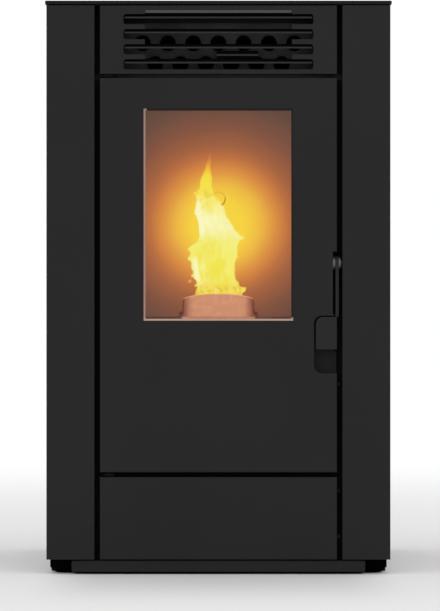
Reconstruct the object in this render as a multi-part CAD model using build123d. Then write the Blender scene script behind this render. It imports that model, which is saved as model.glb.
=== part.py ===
from build123d import *
import os
from math import cos, pi, radians, sin, tan

# A pellet stove in millimetres: +Z up, front towards -Y, +X to the right as seen from the front.
# The origin is on the floor, under the centre of the overall box.

# ---- overall ----
HEIGHT = 900
BODY_WIDTH = 540
BODY_DEPTH = 508
PLATE_OVERHANG = 2
SPIGOT_REACH = 48

# ---- sheet metal and clearances ----
SHEET = 1.5
DOOR_SHEET = 2
PLATE = 3
BEND = 3
FIT = 0.3
RUNNING_FIT = 0.05
RETURN_DEPTH = 18

# ---- casing heights, from the floor up and from the top down ----
FOOT_HEIGHT = 10
PAN_HEIGHT = 12.2
PAN_SHEET = 2
PAN_GAP = 1
DRAWER_PANEL_HEIGHT = 129.3
DOOR_GAP_BELOW = 7.5
DOOR_GAP_ABOVE = 7
GRILLE_PANEL_HEIGHT = 107
TOP_PLATE_THICK = 5.5
TOP_PLATE_GAP = 1.5
TOP_PLATE_CORNER = 3

# ---- casing widths and setbacks ----
SIDE_FLANGE = 75.5
PANEL_GAP = 8.5
REAR_FLANGE = 22
PAN_INSET = 5.5
PAN_SETBACK = 12
FRONT_PLATE_SETBACK = 37
POST_LEG = 30
POST_SHEET = 2
RAIL_HEIGHT = 20

# ---- plinth and feet ----
PLINTH_WIDTH = 461
PLINTH_HEIGHT = 20
PLINTH_LIFT = 1.2
PLINTH_SETBACK = 4
PLINTH_CORNER = 7
FOOT_PAD_R = 20.4
FOOT_PAD_HEIGHT = 2.4
FOOT_FLANGE_R = 26.5
FOOT_STUD_R = 4
FOOT_STUD_RISE = 14
FOOT_INSET_X = 26.5
FOOT_INSET_FRONT = 39
FOOT_INSET_REAR = 30

# ---- grille ----
SLOT_COUNT = 4
SLOT_WIDTH = 298
SLOT_HEIGHT = 16
SLOT_PITCH = 23.6
SLOT_DROP = 14
SLOT_END_R = 4
GRILLE_OPENING_WIDTH = 230.6
GRILLE_BEVEL = 4
LOUVRE_GAP_TOP = 4
LOUVRE_LIP = 2.6
LOUVRE_DEPTH = 11
LOUVRE_SLOPE = 30
LOUVRE_END_GAP = 2.5
LOUVRE_EAR = 14

# ---- door ----
WINDOW_WIDTH = 235
WINDOW_HEIGHT = 333
WINDOW_DROP = 48
WINDOW_BEVEL = 3
WINDOW_LIP_DEPTH = 9
GLASS_THICK = 4
GLASS_BORDER = 12.5
GASKET_THICK = 2
GASKET_WIDTH = 5
DOOR_FRAME_THICK = 11
DOOR_FRAME_EDGE = 16
ROPE_R = 6
ROPE_OUTSET = 9.5
ROPE_CORNER = 18
ROPE_GROOVE = 1.9
DOOR_RANGE = 105
HINGE_INSET = 13
HINGE_SETBACK = 15
HINGE_PIN_R = 4
HINGE_PIN_REACH = 24
HINGE_BLOCK_HEIGHT = 24

# ---- handle ----
HANDLE_PIVOT_Z = 488.6
HANDLE_PIVOT_SETBACK = 13
LEVER_THICK = 5
LEVER_EDGE_OUT = 2.8
LEVER_HEAD_R = 11
LEVER_WIDTH = 20
LEVER_SETBACK = 2
TAB_WIDTH = 33
TAB_EDGE_R = 1.5
TAB_HEIGHT = 51
TAB_TOP = 404
TAB_CORNER = 11
NOTCH_TOP = 406
NOTCH_BOTTOM = 315.5
NOTCH_WIDTH = 36
NOTCH_CORNER = 12.5
LEVER_SLOT_WIDTH = 6.4
LEVER_SLOT_TOP = 506.6
FINGER_DEPTH = 26
BOLT_R = 5
BOLT_HEAD_R = 8
WASHER_R = 9.8
WASHER_THICK = 1.5
HANDLE_RANGE = 32
KEEPER_R = 4
KEEPER_DROP = 22.6
KEEPER_SETBACK = 28
TAIL_THICK = 8

# ---- firebox ----
FIREBOX_WIDTH = 300
FIREBOX_DEPTH = 227
OPENING_MARGIN_TOP = 14
OPENING_MARGIN_BOTTOM = 24
OPENING_MARGIN_SIDE = 10.5
HEARTH_RISE = 6
HEARTH_THICK = 4
LINER_THICK = 12
LINER_SIDE_GAP = 12
FIREBACK_GAP = 19
FIREBACK_BOSS_R = 11
FIREBACK_BOSS_Z = 193
BAFFLE_THICK = 4
BAFFLE_DEPTH = 153
POT_R = 57.2
POT_FLARE = 1.5
POT_WALL = 3
POT_FRONT_RISE = 37
POT_REAR_RISE = 17
POT_REAR_GAP = 1.5
POT_FLANGE_WIDTH = 6.5
POT_FLANGE_THICK = 3.5
POT_CUP_INSET = 3.7
POT_CUP_DEPTH = 52
AIR_BOX_WIDTH = 150
AIR_BOX_DEPTH = 134
AIR_BOX_HEIGHT = 70
AIR_BOX_SHEET = 2
IGNITER_R = 6
IGNITER_X = -20
IGNITER_DROP = 24

# ---- heat exchanger ----
TUBE_R = 14.2
TUBE_WALL = 1.5
TUBE_PITCH = 40
TUBE_ROW_UPPER = 56.5
TUBE_ROW_LOWER = 89.5
TUBES_UPPER = 7
TUBES_LOWER = 6
EXCHANGER_WIDTH = 300
EXCHANGER_TOP_DROP = 25
EXCHANGER_HEIGHT = 80
EXCHANGER_DEPTH = 195
SCRAPER_DROP = 73
SCRAPER_ROD_R = 3
SCRAPER_ROD_X = 30
SCRAPER_ROD_SPREAD = 40
SCRAPER_PLATE = 3
SCRAPER_PLATE_GAP = 15
SCRAPER_HANDLE_WIDTH = 65
SCRAPER_HANDLE_DEPTH = 19
SCRAPER_HANDLE_HEIGHT = 12
SCRAPER_HANDLE_DROP = 6.4
SCRAPER_HANDLE_LIP = 2.6

# ---- hopper and auger ----
LID_WIDTH = 338
LID_DEPTH = 182
LID_GAP = 1
LID_HINGE_INSET = 17
LID_HINGE_SPREAD = 220
LID_KNUCKLE_LENGTH = 24
LID_PIN_R = 1.5
HOPPER_MOUTH_WIDTH = 320
HOPPER_MOUTH_DEPTH = 141
HOPPER_WIDTH = 430
HOPPER_SHEET = 1.5
HOPPER_TOP_DROP = 16
HOPPER_NECK_RISE = 5.7
HOPPER_NECK_LENGTH = 20
HOPPER_FRONT_GAP = 0.6
HOPPER_REAR_GAP = 25
HOPPER_SPOUT_WIDTH = 44
SEAL_WIDTH = 8
AUGER_SLOPE = 72
AUGER_LENGTH = 300
AUGER_TUBE_R = 27
AUGER_TUBE_WALL = 2
AUGER_SCREW_R = 24
AUGER_CORE_R = 7
AUGER_PITCH = 45
AUGER_FLIGHT = 3
AUGER_OUTLET = 275
AUGER_TOP_DROP = 52
AUGER_TOP_Y = 21.3
CHUTE_R = 23.5
CHUTE_WALL = 2
CHUTE_SLOPE = 35
CHUTE_MOUTH_SETBACK = 30

# ---- smoke fan and pipes ----
FLUE_R = 40
FLUE_WALL = 1.5
FLUE_X = 52
FLUE_Z = 198
FAN_X = -70
FAN_Z = 235
FAN_SCROLL_R = 80
FAN_FRONT_GAP = 30
FAN_DEPTH = 55
FAN_SHEET = 2
FAN_WHEEL_R = 66
FAN_BLADES = 12
FAN_MOTOR_R = 42
FAN_MOTOR_LENGTH = 90
SHAFT_R = 4
INTAKE_R = 25
INTAKE_WALL = 1.5
INTAKE_X = 45
INTAKE_DROP = 44
BEAD_WIDTH = 3
BEAD_HEIGHT = 2

# ---- room air blower ----
BLOWER_LENGTH = 300
BLOWER_Y = 85
BLOWER_Z = 70
BLOWER_SCROLL_R = 46
BLOWER_WHEEL_R = 30
BLOWER_BLADES = 24
BLOWER_MOTOR_R = 36
BLOWER_MOTOR_LENGTH = 70

# ---- ash drawer ----
DRAWER_BOX_WIDTH = 330
DRAWER_BOX_LIFT = 28
DRAWER_BOX_HEIGHT = 106
DRAWER_BOX_DEPTH = 237.5
RUNNER_SHEET = 2

# ---- electrics and screws ----
BOARD_WIDTH = 120
BOARD_HEIGHT = 160
INLET_X = -190
INLET_Z = 100
SCREW_R = 3
SCREW_HEAD = 2

# ---- places that follow from the sizes ----
OVERALL_DEPTH = PLATE_OVERHANG + BODY_DEPTH + SPIGOT_REACH
Y_FRONT = PLATE_OVERHANG - OVERALL_DEPTH / 2
Y_REAR = Y_FRONT + BODY_DEPTH
Y_SPIGOT = Y_REAR + SPIGOT_REACH
X_SIDE = BODY_WIDTH / 2
X_CENTRE = X_SIDE - SIDE_FLANGE - PANEL_GAP
X_FLANGE = X_SIDE - SIDE_FLANGE
Z_PLATE = HEIGHT - TOP_PLATE_THICK
Z_BODY = Z_PLATE - TOP_PLATE_GAP
Z_FLOOR = FOOT_HEIGHT + PAN_SHEET
Z_PAN = FOOT_HEIGHT + PAN_HEIGHT
Z_PANELS = Z_PAN + PAN_GAP
Z_DRAWER_TOP = Z_PANELS + DRAWER_PANEL_HEIGHT
Z_DOOR = Z_DRAWER_TOP + DOOR_GAP_BELOW
Z_GRILLE = Z_BODY - GRILLE_PANEL_HEIGHT
Z_DOOR_TOP = Z_GRILLE - DOOR_GAP_ABOVE
Z_FRAME_TOP = Z_BODY - PAN_GAP
Y_REAR_IN = Y_REAR - 2 * SHEET
Y_PLATE = Y_FRONT + FRONT_PLATE_SETBACK
Y_PLATE_REAR = Y_PLATE + PLATE
X_POST = X_SIDE - SHEET
X_PAN = X_SIDE - PAN_INSET
Y_PAN = Y_FRONT + PAN_SETBACK

WINDOW_TOP = Z_DOOR_TOP - WINDOW_DROP
WINDOW_BOTTOM = WINDOW_TOP - WINDOW_HEIGHT
OPENING_TOP = WINDOW_TOP + OPENING_MARGIN_TOP
OPENING_BOTTOM = WINDOW_BOTTOM - OPENING_MARGIN_BOTTOM
OPENING_HALF = WINDOW_WIDTH / 2 + OPENING_MARGIN_SIDE
Y_GLASS = Y_FRONT + WINDOW_LIP_DEPTH + FIT
Y_GASKET = Y_GLASS + GLASS_THICK
Y_DOOR_FRAME = Y_GASKET + GASKET_THICK
Y_DOOR_FRAME_REAR = Y_DOOR_FRAME + DOOR_FRAME_THICK
Y_ROPE = Y_PLATE - FIT - ROPE_R
X_HINGE = HINGE_INSET - X_CENTRE
Y_HINGE = Y_FRONT + HINGE_SETBACK
X_DOOR_FRAME_LEFT = X_HINGE + 8.5
X_DOOR_FRAME_RIGHT = X_CENTRE - DOOR_FRAME_EDGE
Z_DOOR_FRAME = Z_DOOR + 12
Z_DOOR_FRAME_TOP = Z_DOOR_TOP - 8

X_LEVER = X_CENTRE + LEVER_EDGE_OUT
X_LEVER_IN = X_LEVER - LEVER_THICK
Y_PIVOT = Y_FRONT + HANDLE_PIVOT_SETBACK
Z_KEEPER = HANDLE_PIVOT_Z - KEEPER_DROP
Y_KEEPER = Y_FRONT + KEEPER_SETBACK
X_SLOT = X_CENTRE - LEVER_SLOT_WIDTH
X_NOTCH = X_CENTRE - NOTCH_WIDTH
Z_TAB = TAB_TOP - TAB_HEIGHT
X_BRACKET = X_SLOT - 4.6
X_BRACKET_IN = X_BRACKET - 17

X_FIREBOX = FIREBOX_WIDTH / 2
Y_FIREBOX = Y_PLATE_REAR + FIREBOX_DEPTH
Z_FIREBOX = Z_DOOR + 2
Z_FIREBOX_TOP = Z_BODY - EXCHANGER_TOP_DROP - EXCHANGER_HEIGHT
Z_HEARTH = WINDOW_BOTTOM + HEARTH_RISE
Z_BAFFLE = OPENING_TOP
Y_FIREBACK = Y_FIREBOX - PLATE - FIREBACK_GAP
X_LINER = X_FIREBOX - LINER_SIDE_GAP
POT_FLANGE_R = POT_R + POT_FLANGE_WIDTH
POT_CUP_R = POT_R - POT_CUP_INSET
Y_POT = Y_FIREBACK - LINER_THICK - POT_REAR_GAP - POT_FLANGE_R
Z_POT_CUP = Z_HEARTH - POT_CUP_DEPTH
Z_AIR_BOX = Z_HEARTH - HEARTH_THICK - AIR_BOX_HEIGHT
Y_AIR_BOX = Y_POT - AIR_BOX_DEPTH / 2
Y_AIR_BOX_REAR = Y_AIR_BOX + AIR_BOX_DEPTH
Z_IGNITER = Z_HEARTH - IGNITER_DROP
Z_INTAKE = Z_HEARTH - INTAKE_DROP

Z_EXCHANGER_TOP = Z_BODY - EXCHANGER_TOP_DROP
Y_EXCHANGER = Y_PLATE + EXCHANGER_DEPTH
Z_ROW_UPPER = Z_BODY - TUBE_ROW_UPPER
Z_ROW_LOWER = Z_BODY - TUBE_ROW_LOWER
Z_SCRAPER = Z_BODY - SCRAPER_DROP
Y_SCRAPER = Y_EXCHANGER - PLATE - SCRAPER_PLATE_GAP
Y_SCRAPER_HANDLE = Y_PLATE - PLATE

Y_LID_HINGE = Y_REAR + PLATE_OVERHANG - LID_HINGE_INSET
LID_KNUCKLE_R = TOP_PLATE_THICK / 2
Z_LID_HINGE = HEIGHT - LID_KNUCKLE_R
Y_LID_REAR = Y_LID_HINGE - LID_KNUCKLE_R - 0.45
Y_LID = Y_LID_REAR - LID_DEPTH
Z_HOPPER_TOP = HEIGHT - HOPPER_TOP_DROP
Z_HOPPER_RIM = Z_HOPPER_TOP + HOPPER_NECK_RISE
Y_HOPPER_REAR = Y_REAR_IN - HOPPER_REAR_GAP
Y_HOPPER_MOUTH = Y_HOPPER_REAR - HOPPER_MOUTH_DEPTH
AUGER_RUN = cos(radians(AUGER_SLOPE))
AUGER_RISE = sin(radians(AUGER_SLOPE))
Y_AUGER = Y_FIREBOX + AUGER_TOP_Y + AUGER_LENGTH * AUGER_RUN
Z_AUGER = Z_BODY - AUGER_TOP_DROP - AUGER_LENGTH * AUGER_RISE
AUGER_PLANE = Plane(origin=(0, Y_AUGER, Z_AUGER), x_dir=(1, 0, 0), z_dir=(0, -AUGER_RUN, AUGER_RISE))

Y_FAN = Y_FIREBOX + FAN_FRONT_GAP
Y_FAN_REAR = Y_FAN + FAN_DEPTH
X_BLOWER = BLOWER_LENGTH / 2
Z_DRAWER_BOX = Z_FLOOR + DRAWER_BOX_LIFT
X_DRAWER_BOX = DRAWER_BOX_WIDTH / 2
X_FOOT = X_PAN - FOOT_INSET_X
Y_FEET = (Y_PAN + FOOT_INSET_FRONT, Y_REAR_IN - FOOT_INSET_REAR)


# ---- shapes that the pieces share ----
def block(x0, x1, y0, y1, z0, z1):
    centre = Pos((x0 + x1) / 2, (y0 + y1) / 2, (z0 + z1) / 2)
    return centre * Box(x1 - x0, y1 - y0, z1 - z0)


def rod_x(x0, x1, y, z, radius):
    return Pos((x0 + x1) / 2, y, z) * Rot(0, 90, 0) * Cylinder(radius, x1 - x0)


def rod_y(y0, y1, x, z, radius):
    return Pos(x, (y0 + y1) / 2, z) * Rot(90, 0, 0) * Cylinder(radius, y1 - y0)


def rod_z(z0, z1, x, y, radius):
    return Pos(x, y, (z0 + z1) / 2) * Cylinder(radius, z1 - z0)


def prism_x(points, x0, x1):
    """A Y-Z outline, drawn out from x0 to x1."""
    outline = Plane.YZ.offset(x0) * make_face(Polyline(*points, close=True))
    return extrude(outline, amount=x1 - x0, dir=(1, 0, 0))


def prism_y(points, y0, y1):
    """An X-Z outline, drawn out from y0 to y1."""
    outline = Plane.XZ.offset(-y0) * make_face(Polyline(*points, close=True))
    return extrude(outline, amount=y1 - y0, dir=(0, 1, 0))


def prism_z(points, z0, z1):
    """An X-Y outline, drawn out from z0 to z1."""
    outline = Plane.XY.offset(z0) * make_face(Polyline(*points, close=True))
    return extrude(outline, amount=z1 - z0, dir=(0, 0, 1))


def rounded_slab(x0, x1, y0, y1, z0, z1, radius):
    """A slab that lies in X-Z, with rounded corners."""
    outline = RectangleRounded(x1 - x0, z1 - z0, radius)
    face = Plane.XZ.offset(-y0) * Pos((x0 + x1) / 2, (z0 + z1) / 2) * outline
    return extrude(face, amount=y1 - y0, dir=(0, 1, 0))


def edges_at(shape, axis, **places):
    """Edges along one axis whose middle lies at the places given."""
    found = shape.edges().filter_by(axis)
    for name, places_allowed in places.items():
        allowed = places_allowed if isinstance(places_allowed, tuple) else (places_allowed,)
        found = found.filter_by(lambda e, n=name, a=allowed: any(
            abs(getattr(e.center(), n) - place) < 0.01 for place in a))
    return found


def front_tray(x0, x1, z0, z1, sheet, side_depth=RETURN_DEPTH, depth=RETURN_DEPTH):
    """A folded front panel: a flat face with returns to the rear on its four sides."""
    outer = block(x0, x1, Y_FRONT, Y_FRONT + side_depth, z0, z1)
    upright = edges_at(outer, Axis.Z, X=(x0, x1), Y=Y_FRONT)
    level = edges_at(outer, Axis.X, Y=Y_FRONT)
    outer = fillet(upright + level, sheet * 0.9)
    tray = outer - block(x0 + sheet, x1 - sheet, Y_FRONT + sheet, Y_FRONT + side_depth + 1, z0 + sheet, z1 - sheet)
    for level_z in (z0 - 1, z1 - sheet - 0.01):
        if side_depth > depth:
            tray -= block(x0 + sheet, x1 - sheet, Y_FRONT + depth, Y_FRONT + side_depth + 1,
                          level_z, level_z + sheet + 1.01)
    return tray


def both_sides(shape):
    return [shape, mirror(shape, Plane.YZ)]


def group(solids):
    return Compound(children=list(solids))


def save(name, shape):
    export_step(shape, os.path.join("parts", name + ".step"))


# ---- casing ----
def base_pan():
    pan = block(-X_PAN, X_PAN, Y_PAN, Y_REAR_IN, FOOT_HEIGHT, Z_PAN)
    pan -= block(PAN_SHEET - X_PAN, X_PAN - PAN_SHEET, Y_PAN + PAN_SHEET, Y_REAR_IN - PAN_SHEET,
                 Z_FLOOR, Z_PAN + 1)
    for side in (-1, 1):
        lip = block(X_PAN, X_POST, Y_PLATE, Y_REAR_IN, Z_PAN - PAN_SHEET, Z_PAN)
        pan += lip if side > 0 else mirror(lip, Plane.YZ)
        for y in Y_FEET:
            pan -= rod_z(FOOT_HEIGHT - 1, Z_FLOOR + 1, side * X_FOOT, y, FOOT_STUD_R + FIT)
    return pan


def levelling_foot(x, y):
    pad = rod_z(0, FOOT_PAD_HEIGHT, x, y, FOOT_PAD_R)
    pad = fillet(pad.edges().group_by(Axis.Z)[0], 1.5)
    flange = rod_z(FOOT_PAD_HEIGHT, FOOT_HEIGHT, x, y, FOOT_FLANGE_R)
    stud = rod_z(FOOT_HEIGHT - 1, FOOT_HEIGHT + FOOT_STUD_RISE, x, y, FOOT_STUD_R)
    return pad + flange + stud


def levelling_feet():
    return group(levelling_foot(side * X_FOOT, y) for side in (-1, 1) for y in Y_FEET)


def plinth():
    half = PLINTH_WIDTH / 2
    top = PLINTH_LIFT + PLINTH_HEIGHT
    y0 = Y_FRONT + PLINTH_SETBACK
    skirt = block(-half, half, y0, y0 + PAN_SHEET, PLINTH_LIFT, top)
    skirt = fillet(edges_at(skirt, Axis.Y, Z=PLINTH_LIFT), PLINTH_CORNER)
    skirt = fillet(edges_at(skirt, Axis.Y, Z=top), PAN_SHEET)
    flange = block(PLINTH_CORNER - half, half - PLINTH_CORNER, y0, Y_PAN, top - PAN_SHEET, top)
    return skirt + flange


def corner_post(front):
    """An L-shaped post at the right-hand side."""
    y0 = Y_PLATE_REAR if front else Y_REAR_IN - POST_SHEET
    leg_y = (y0, y0 + POST_LEG) if front else (Y_REAR_IN - POST_LEG, Y_REAR_IN)
    post = block(X_POST - POST_LEG, X_POST, y0, y0 + POST_SHEET, Z_PAN, Z_FRAME_TOP)
    post += block(X_POST - POST_SHEET, X_POST, leg_y[0], leg_y[1], Z_PAN, Z_FRAME_TOP)
    gusset = block(X_POST - POST_LEG, X_POST, leg_y[0], leg_y[1], Z_FRAME_TOP - POST_SHEET, Z_FRAME_TOP)
    middle_x = X_POST - POST_LEG / 2
    middle_y = (leg_y[0] + leg_y[1]) / 2
    return post + gusset + rod_z(Z_FRAME_TOP - 1, Z_PLATE, middle_x, middle_y, POST_LEG / 3)


def chassis_frame():
    z0 = Z_FRAME_TOP - RAIL_HEIGHT
    frame = block(-X_POST, X_POST, Y_PLATE_REAR, Y_PLATE_REAR + POST_SHEET, z0, Z_FRAME_TOP)
    frame += block(-X_POST, X_POST, Y_REAR_IN - POST_SHEET, Y_REAR_IN, z0, Z_FRAME_TOP)
    rail = block(X_POST - POST_SHEET, X_POST, Y_PLATE_REAR, Y_REAR_IN, z0, Z_FRAME_TOP)
    for piece in both_sides(rail) + both_sides(corner_post(True)) + both_sides(corner_post(False)):
        frame += piece
    return frame


def side_panel():
    """The right-hand side panel: front flange, side and rear flange in one fold."""
    outer = block(X_FLANGE, X_SIDE, Y_FRONT, Y_REAR, Z_PANELS, Z_BODY)
    outer = fillet(edges_at(outer, Axis.Z, X=X_SIDE), BEND)
    outer = fillet(edges_at(outer, Axis.Z, X=X_FLANGE, Y=Y_FRONT), SHEET * 0.9)
    inner = block(X_FLANGE + SHEET, X_SIDE - SHEET, Y_FRONT + SHEET, Y_REAR - SHEET, Z_PANELS - 1, Z_BODY + 1)
    inner = fillet(edges_at(inner, Axis.Z, X=X_SIDE - SHEET), BEND - SHEET)
    open_side = block(X_FLANGE - 1, X_SIDE - REAR_FLANGE, Y_FRONT + RETURN_DEPTH, Y_REAR + 1,
                      Z_PANELS - 1, Z_BODY + 1)
    return outer - inner - open_side


def rear_panel():
    half = X_POST - BEND + SHEET
    panel = block(-half, half, Y_REAR_IN, Y_REAR_IN + SHEET, Z_PANELS, Z_BODY)
    panel -= rod_y(Y_REAR_IN - 1, Y_REAR, FLUE_X, FLUE_Z, FLUE_R + 2 * FIT)
    panel -= rod_y(Y_REAR_IN - 1, Y_REAR, INTAKE_X, Z_INTAKE, INTAKE_R + 2 * FIT)
    panel -= block(INLET_X - 14 - FIT, INLET_X + 14 + FIT, Y_REAR_IN - 1, Y_REAR, INLET_Z - 10 - FIT, INLET_Z + 10 + FIT)
    for row in range(5):
        for column in (-1, 0, 1):
            for base in (Z_PANELS + 15, Z_BODY - 330):
                x = column * 90 - (0 if base > FLUE_Z else 40)
                z = base + row * 12
                panel -= rounded_slab(x - 32, x + 32, Y_REAR_IN - 1, Y_REAR, z, z + 5, 2.4)
    return panel


def top_plate():
    half = X_SIDE + PLATE_OVERHANG
    plate = block(-half, half, Y_FRONT - PLATE_OVERHANG, Y_REAR + PLATE_OVERHANG, Z_PLATE, HEIGHT)
    plate = fillet(plate.edges().filter_by(Axis.Z), TOP_PLATE_CORNER)
    plate = fillet(plate.edges().group_by(Axis.Z)[-1], 1)
    plate = chamfer(plate.edges().group_by(Axis.Z)[0], 0.8)
    lid_half = LID_WIDTH / 2 + LID_GAP
    plate -= block(-lid_half, lid_half, Y_LID - LID_GAP, Y_LID_REAR + 2 * LID_GAP, Z_PLATE - 1, HEIGHT + 1)
    hinge_half = LID_KNUCKLE_LENGTH + 2 * FIT
    for x in lid_hinge_places():
        plate -= block(x - hinge_half, x + hinge_half, Y_LID_REAR - 1, Y_LID_HINGE + 5, Z_PLATE - 1, HEIGHT + 1)
    return plate


def rear_screws():
    z_places = [Z_PANELS + 37 + i * (Z_BODY - Z_PANELS - 80) / 3 for i in range(4)]
    x = X_SIDE - REAR_FLANGE / 2
    return [rod_y(Y_REAR, Y_REAR + SCREW_HEAD, side * x, z, SCREW_R) for side in (-1, 1) for z in z_places]


def panel_screws():
    x = X_CENTRE + PANEL_GAP / 2
    front = [rod_y(Y_PLATE - SCREW_HEAD, Y_PLATE, x, z, SCREW_R) for z in (57, 129, 297)]
    return group(front + rear_screws())


# ---- grille ----
def slot_top(index):
    return Z_BODY - SLOT_DROP - index * SLOT_PITCH


def grille_panel():
    panel = front_tray(-X_CENTRE, X_CENTRE, Z_GRILLE, Z_BODY, SHEET, side_depth=FRONT_PLATE_SETBACK)
    half = GRILLE_OPENING_WIDTH / 2
    opening_top = slot_top(0) + 2.2
    opening_bottom = slot_top(SLOT_COUNT - 1) - SLOT_HEIGHT
    panel += block(-half, half, Y_FRONT + SHEET, Y_FRONT + GRILLE_BEVEL + SHEET, opening_top, opening_top + 6)
    panel -= block(-half, half, Y_FRONT - 1, Y_FRONT + GRILLE_BEVEL + SHEET + 1, opening_bottom, opening_top)
    bevel = [(Y_FRONT - 1, opening_top + GRILLE_BEVEL + 1), (Y_FRONT + GRILLE_BEVEL, opening_top),
             (Y_FRONT - 1, opening_top - 1)]
    panel -= prism_x(bevel, -half, half)
    for index in range(SLOT_COUNT):
        top = slot_top(index)
        panel -= rounded_slab(-SLOT_WIDTH / 2, SLOT_WIDTH / 2, Y_FRONT - 1, Y_FRONT + SHEET + 0.5,
                              top - SLOT_HEIGHT, top, SLOT_END_R)
    return panel


def louvre_blade(index):
    """A sloping blade with a low front lip, held by an ear behind each end of its slot."""
    top = slot_top(index) - LOUVRE_GAP_TOP
    rise = (LOUVRE_DEPTH - SHEET) * tan(radians(LOUVRE_SLOPE))
    y1 = Y_FRONT + SHEET
    y2 = Y_FRONT + LOUVRE_DEPTH
    half_lip = LOUVRE_LIP / 2
    outline = [(Y_FRONT, top - LOUVRE_LIP), (y1, top - LOUVRE_LIP), (y1, top - half_lip),
               (y2, top - half_lip + rise), (y2, top + rise), (y1, top), (Y_FRONT, top)]
    half = SLOT_WIDTH / 2 - LOUVRE_END_GAP
    blade = prism_x(outline, -half, half)
    ear = block(half - 1, half + LOUVRE_EAR, y1, y1 + SHEET, top - LOUVRE_LIP, top)
    for piece in both_sides(ear):
        blade += piece
    return blade


# ---- firebox front plate ----
def front_plate():
    """Four flat plates edge to edge: one round the drawer, two cheeks, and one round the exchanger."""
    half = X_PAN - PAN_SHEET
    y0, y1 = Y_PLATE, Y_PLATE_REAR
    lower = block(-half, half, y0, y1, Z_FLOOR, OPENING_BOTTOM)
    drawer_half = X_DRAWER_BOX + 3
    lower -= block(-drawer_half, drawer_half, y0 - 1, y1 + 1, Z_DRAWER_BOX - 8, Z_DRAWER_TOP - 2.5)
    upper = block(-half, half, y0, y1, OPENING_TOP, Z_FRAME_TOP)
    side = EXCHANGER_WIDTH / 2 + FIT
    upper -= block(-side, side, y0 - 1, y1 + 1, Z_FIREBOX_TOP - FIT, Z_EXCHANGER_TOP + FIT)
    cheek = block(OPENING_HALF, half, y0, y1, OPENING_BOTTOM, OPENING_TOP)
    return group([lower, upper, *both_sides(cheek)])


# ---- door ----
def handle_notch(y0, y1, grow):
    """The notch in the door's free edge, enlarged by grow on its closed sides."""
    notch = block(X_NOTCH - grow, X_CENTRE + 1, y0, y1, NOTCH_BOTTOM - grow, NOTCH_TOP + grow)
    return fillet(edges_at(notch, Axis.Y, X=X_NOTCH - grow), NOTCH_CORNER + grow)


def finger_recess():
    y1 = Y_FRONT + FINGER_DEPTH + DOOR_SHEET
    x1 = X_LEVER_IN - 2
    pan = handle_notch(Y_FRONT + DOOR_SHEET / 2, y1, DOOR_SHEET)
    pan -= handle_notch(Y_FRONT, Y_FRONT + FINGER_DEPTH, 0)
    pan -= block(X_CENTRE, X_CENTRE + 2, Y_FRONT - 1, y1 + 1, NOTCH_BOTTOM - 9, NOTCH_TOP + 9)
    return pan - block(x1, X_CENTRE + 1, Y_FRONT - 1, y1 + 1, Z_TAB - 3, NOTCH_TOP + 9)


def door_panel():
    panel = front_tray(-X_CENTRE, X_CENTRE, Z_DOOR, Z_DOOR_TOP, DOOR_SHEET)
    half = WINDOW_WIDTH / 2
    lip = DOOR_SHEET
    y1 = Y_FRONT + WINDOW_LIP_DEPTH
    panel += block(-half - lip, half + lip, Y_FRONT + DOOR_SHEET / 2, y1, WINDOW_BOTTOM - lip, WINDOW_TOP + lip)
    hole_half = half - WINDOW_BEVEL
    hole = block(-hole_half, hole_half, Y_FRONT - 1, y1 + 1, WINDOW_BOTTOM + WINDOW_BEVEL, WINDOW_TOP - WINDOW_BEVEL)
    flare = Plane.XZ.offset(-Y_FRONT) * Pos(0, (WINDOW_BOTTOM + WINDOW_TOP) / 2)
    flare_face = flare * Rectangle(WINDOW_WIDTH, WINDOW_HEIGHT)
    panel -= hole
    panel -= extrude(flare_face, amount=WINDOW_BEVEL, dir=(0, 1, 0), taper=45)
    panel -= handle_notch(Y_FRONT - 1, Y_FRONT + RETURN_DEPTH + 1, 0)
    panel -= block(X_SLOT, X_CENTRE + 1, Y_FRONT - 1, Y_FRONT + RETURN_DEPTH + 1, NOTCH_TOP - 1, LEVER_SLOT_TOP)
    panel += finger_recess()
    slot_wall = block(X_SLOT - DOOR_SHEET, X_SLOT, Y_FRONT + DOOR_SHEET / 2, Y_FRONT + RETURN_DEPTH,
                      NOTCH_TOP, LEVER_SLOT_TOP)
    panel += slot_wall
    panel += block(X_SLOT - DOOR_SHEET, X_CENTRE, Y_FRONT + DOOR_SHEET / 2, Y_FRONT + RETURN_DEPTH,
                   LEVER_SLOT_TOP, LEVER_SLOT_TOP + DOOR_SHEET)
    panel -= rod_x(X_SLOT - DOOR_SHEET - 1, X_SLOT + 1, Y_PIVOT, HANDLE_PIVOT_Z, WASHER_R + 2 * FIT)
    for z in (Z_DOOR - 1, Z_DOOR_TOP - DOOR_SHEET - 1):
        panel -= rod_z(z, z + DOOR_SHEET + 2, X_HINGE, Y_HINGE, HINGE_PIN_R + 1)
    return panel


def rope_slot(width):
    """The rectangular ring that the rope seal lies in."""
    x = OPENING_HALF + ROPE_OUTSET
    z0 = OPENING_BOTTOM - ROPE_OUTSET
    z1 = OPENING_TOP + ROPE_OUTSET
    w = width / 2
    y0 = Y_DOOR_FRAME_REAR - ROPE_GROOVE
    outer = rounded_slab(-x - w, x + w, y0, y0 + 5, z0 - w, z1 + w, ROPE_CORNER + w)
    inner = rounded_slab(w - x, x - w, y0 - 1, y0 + 6, z0 + w, z1 - w, ROPE_CORNER - w)
    return outer - inner


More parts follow.
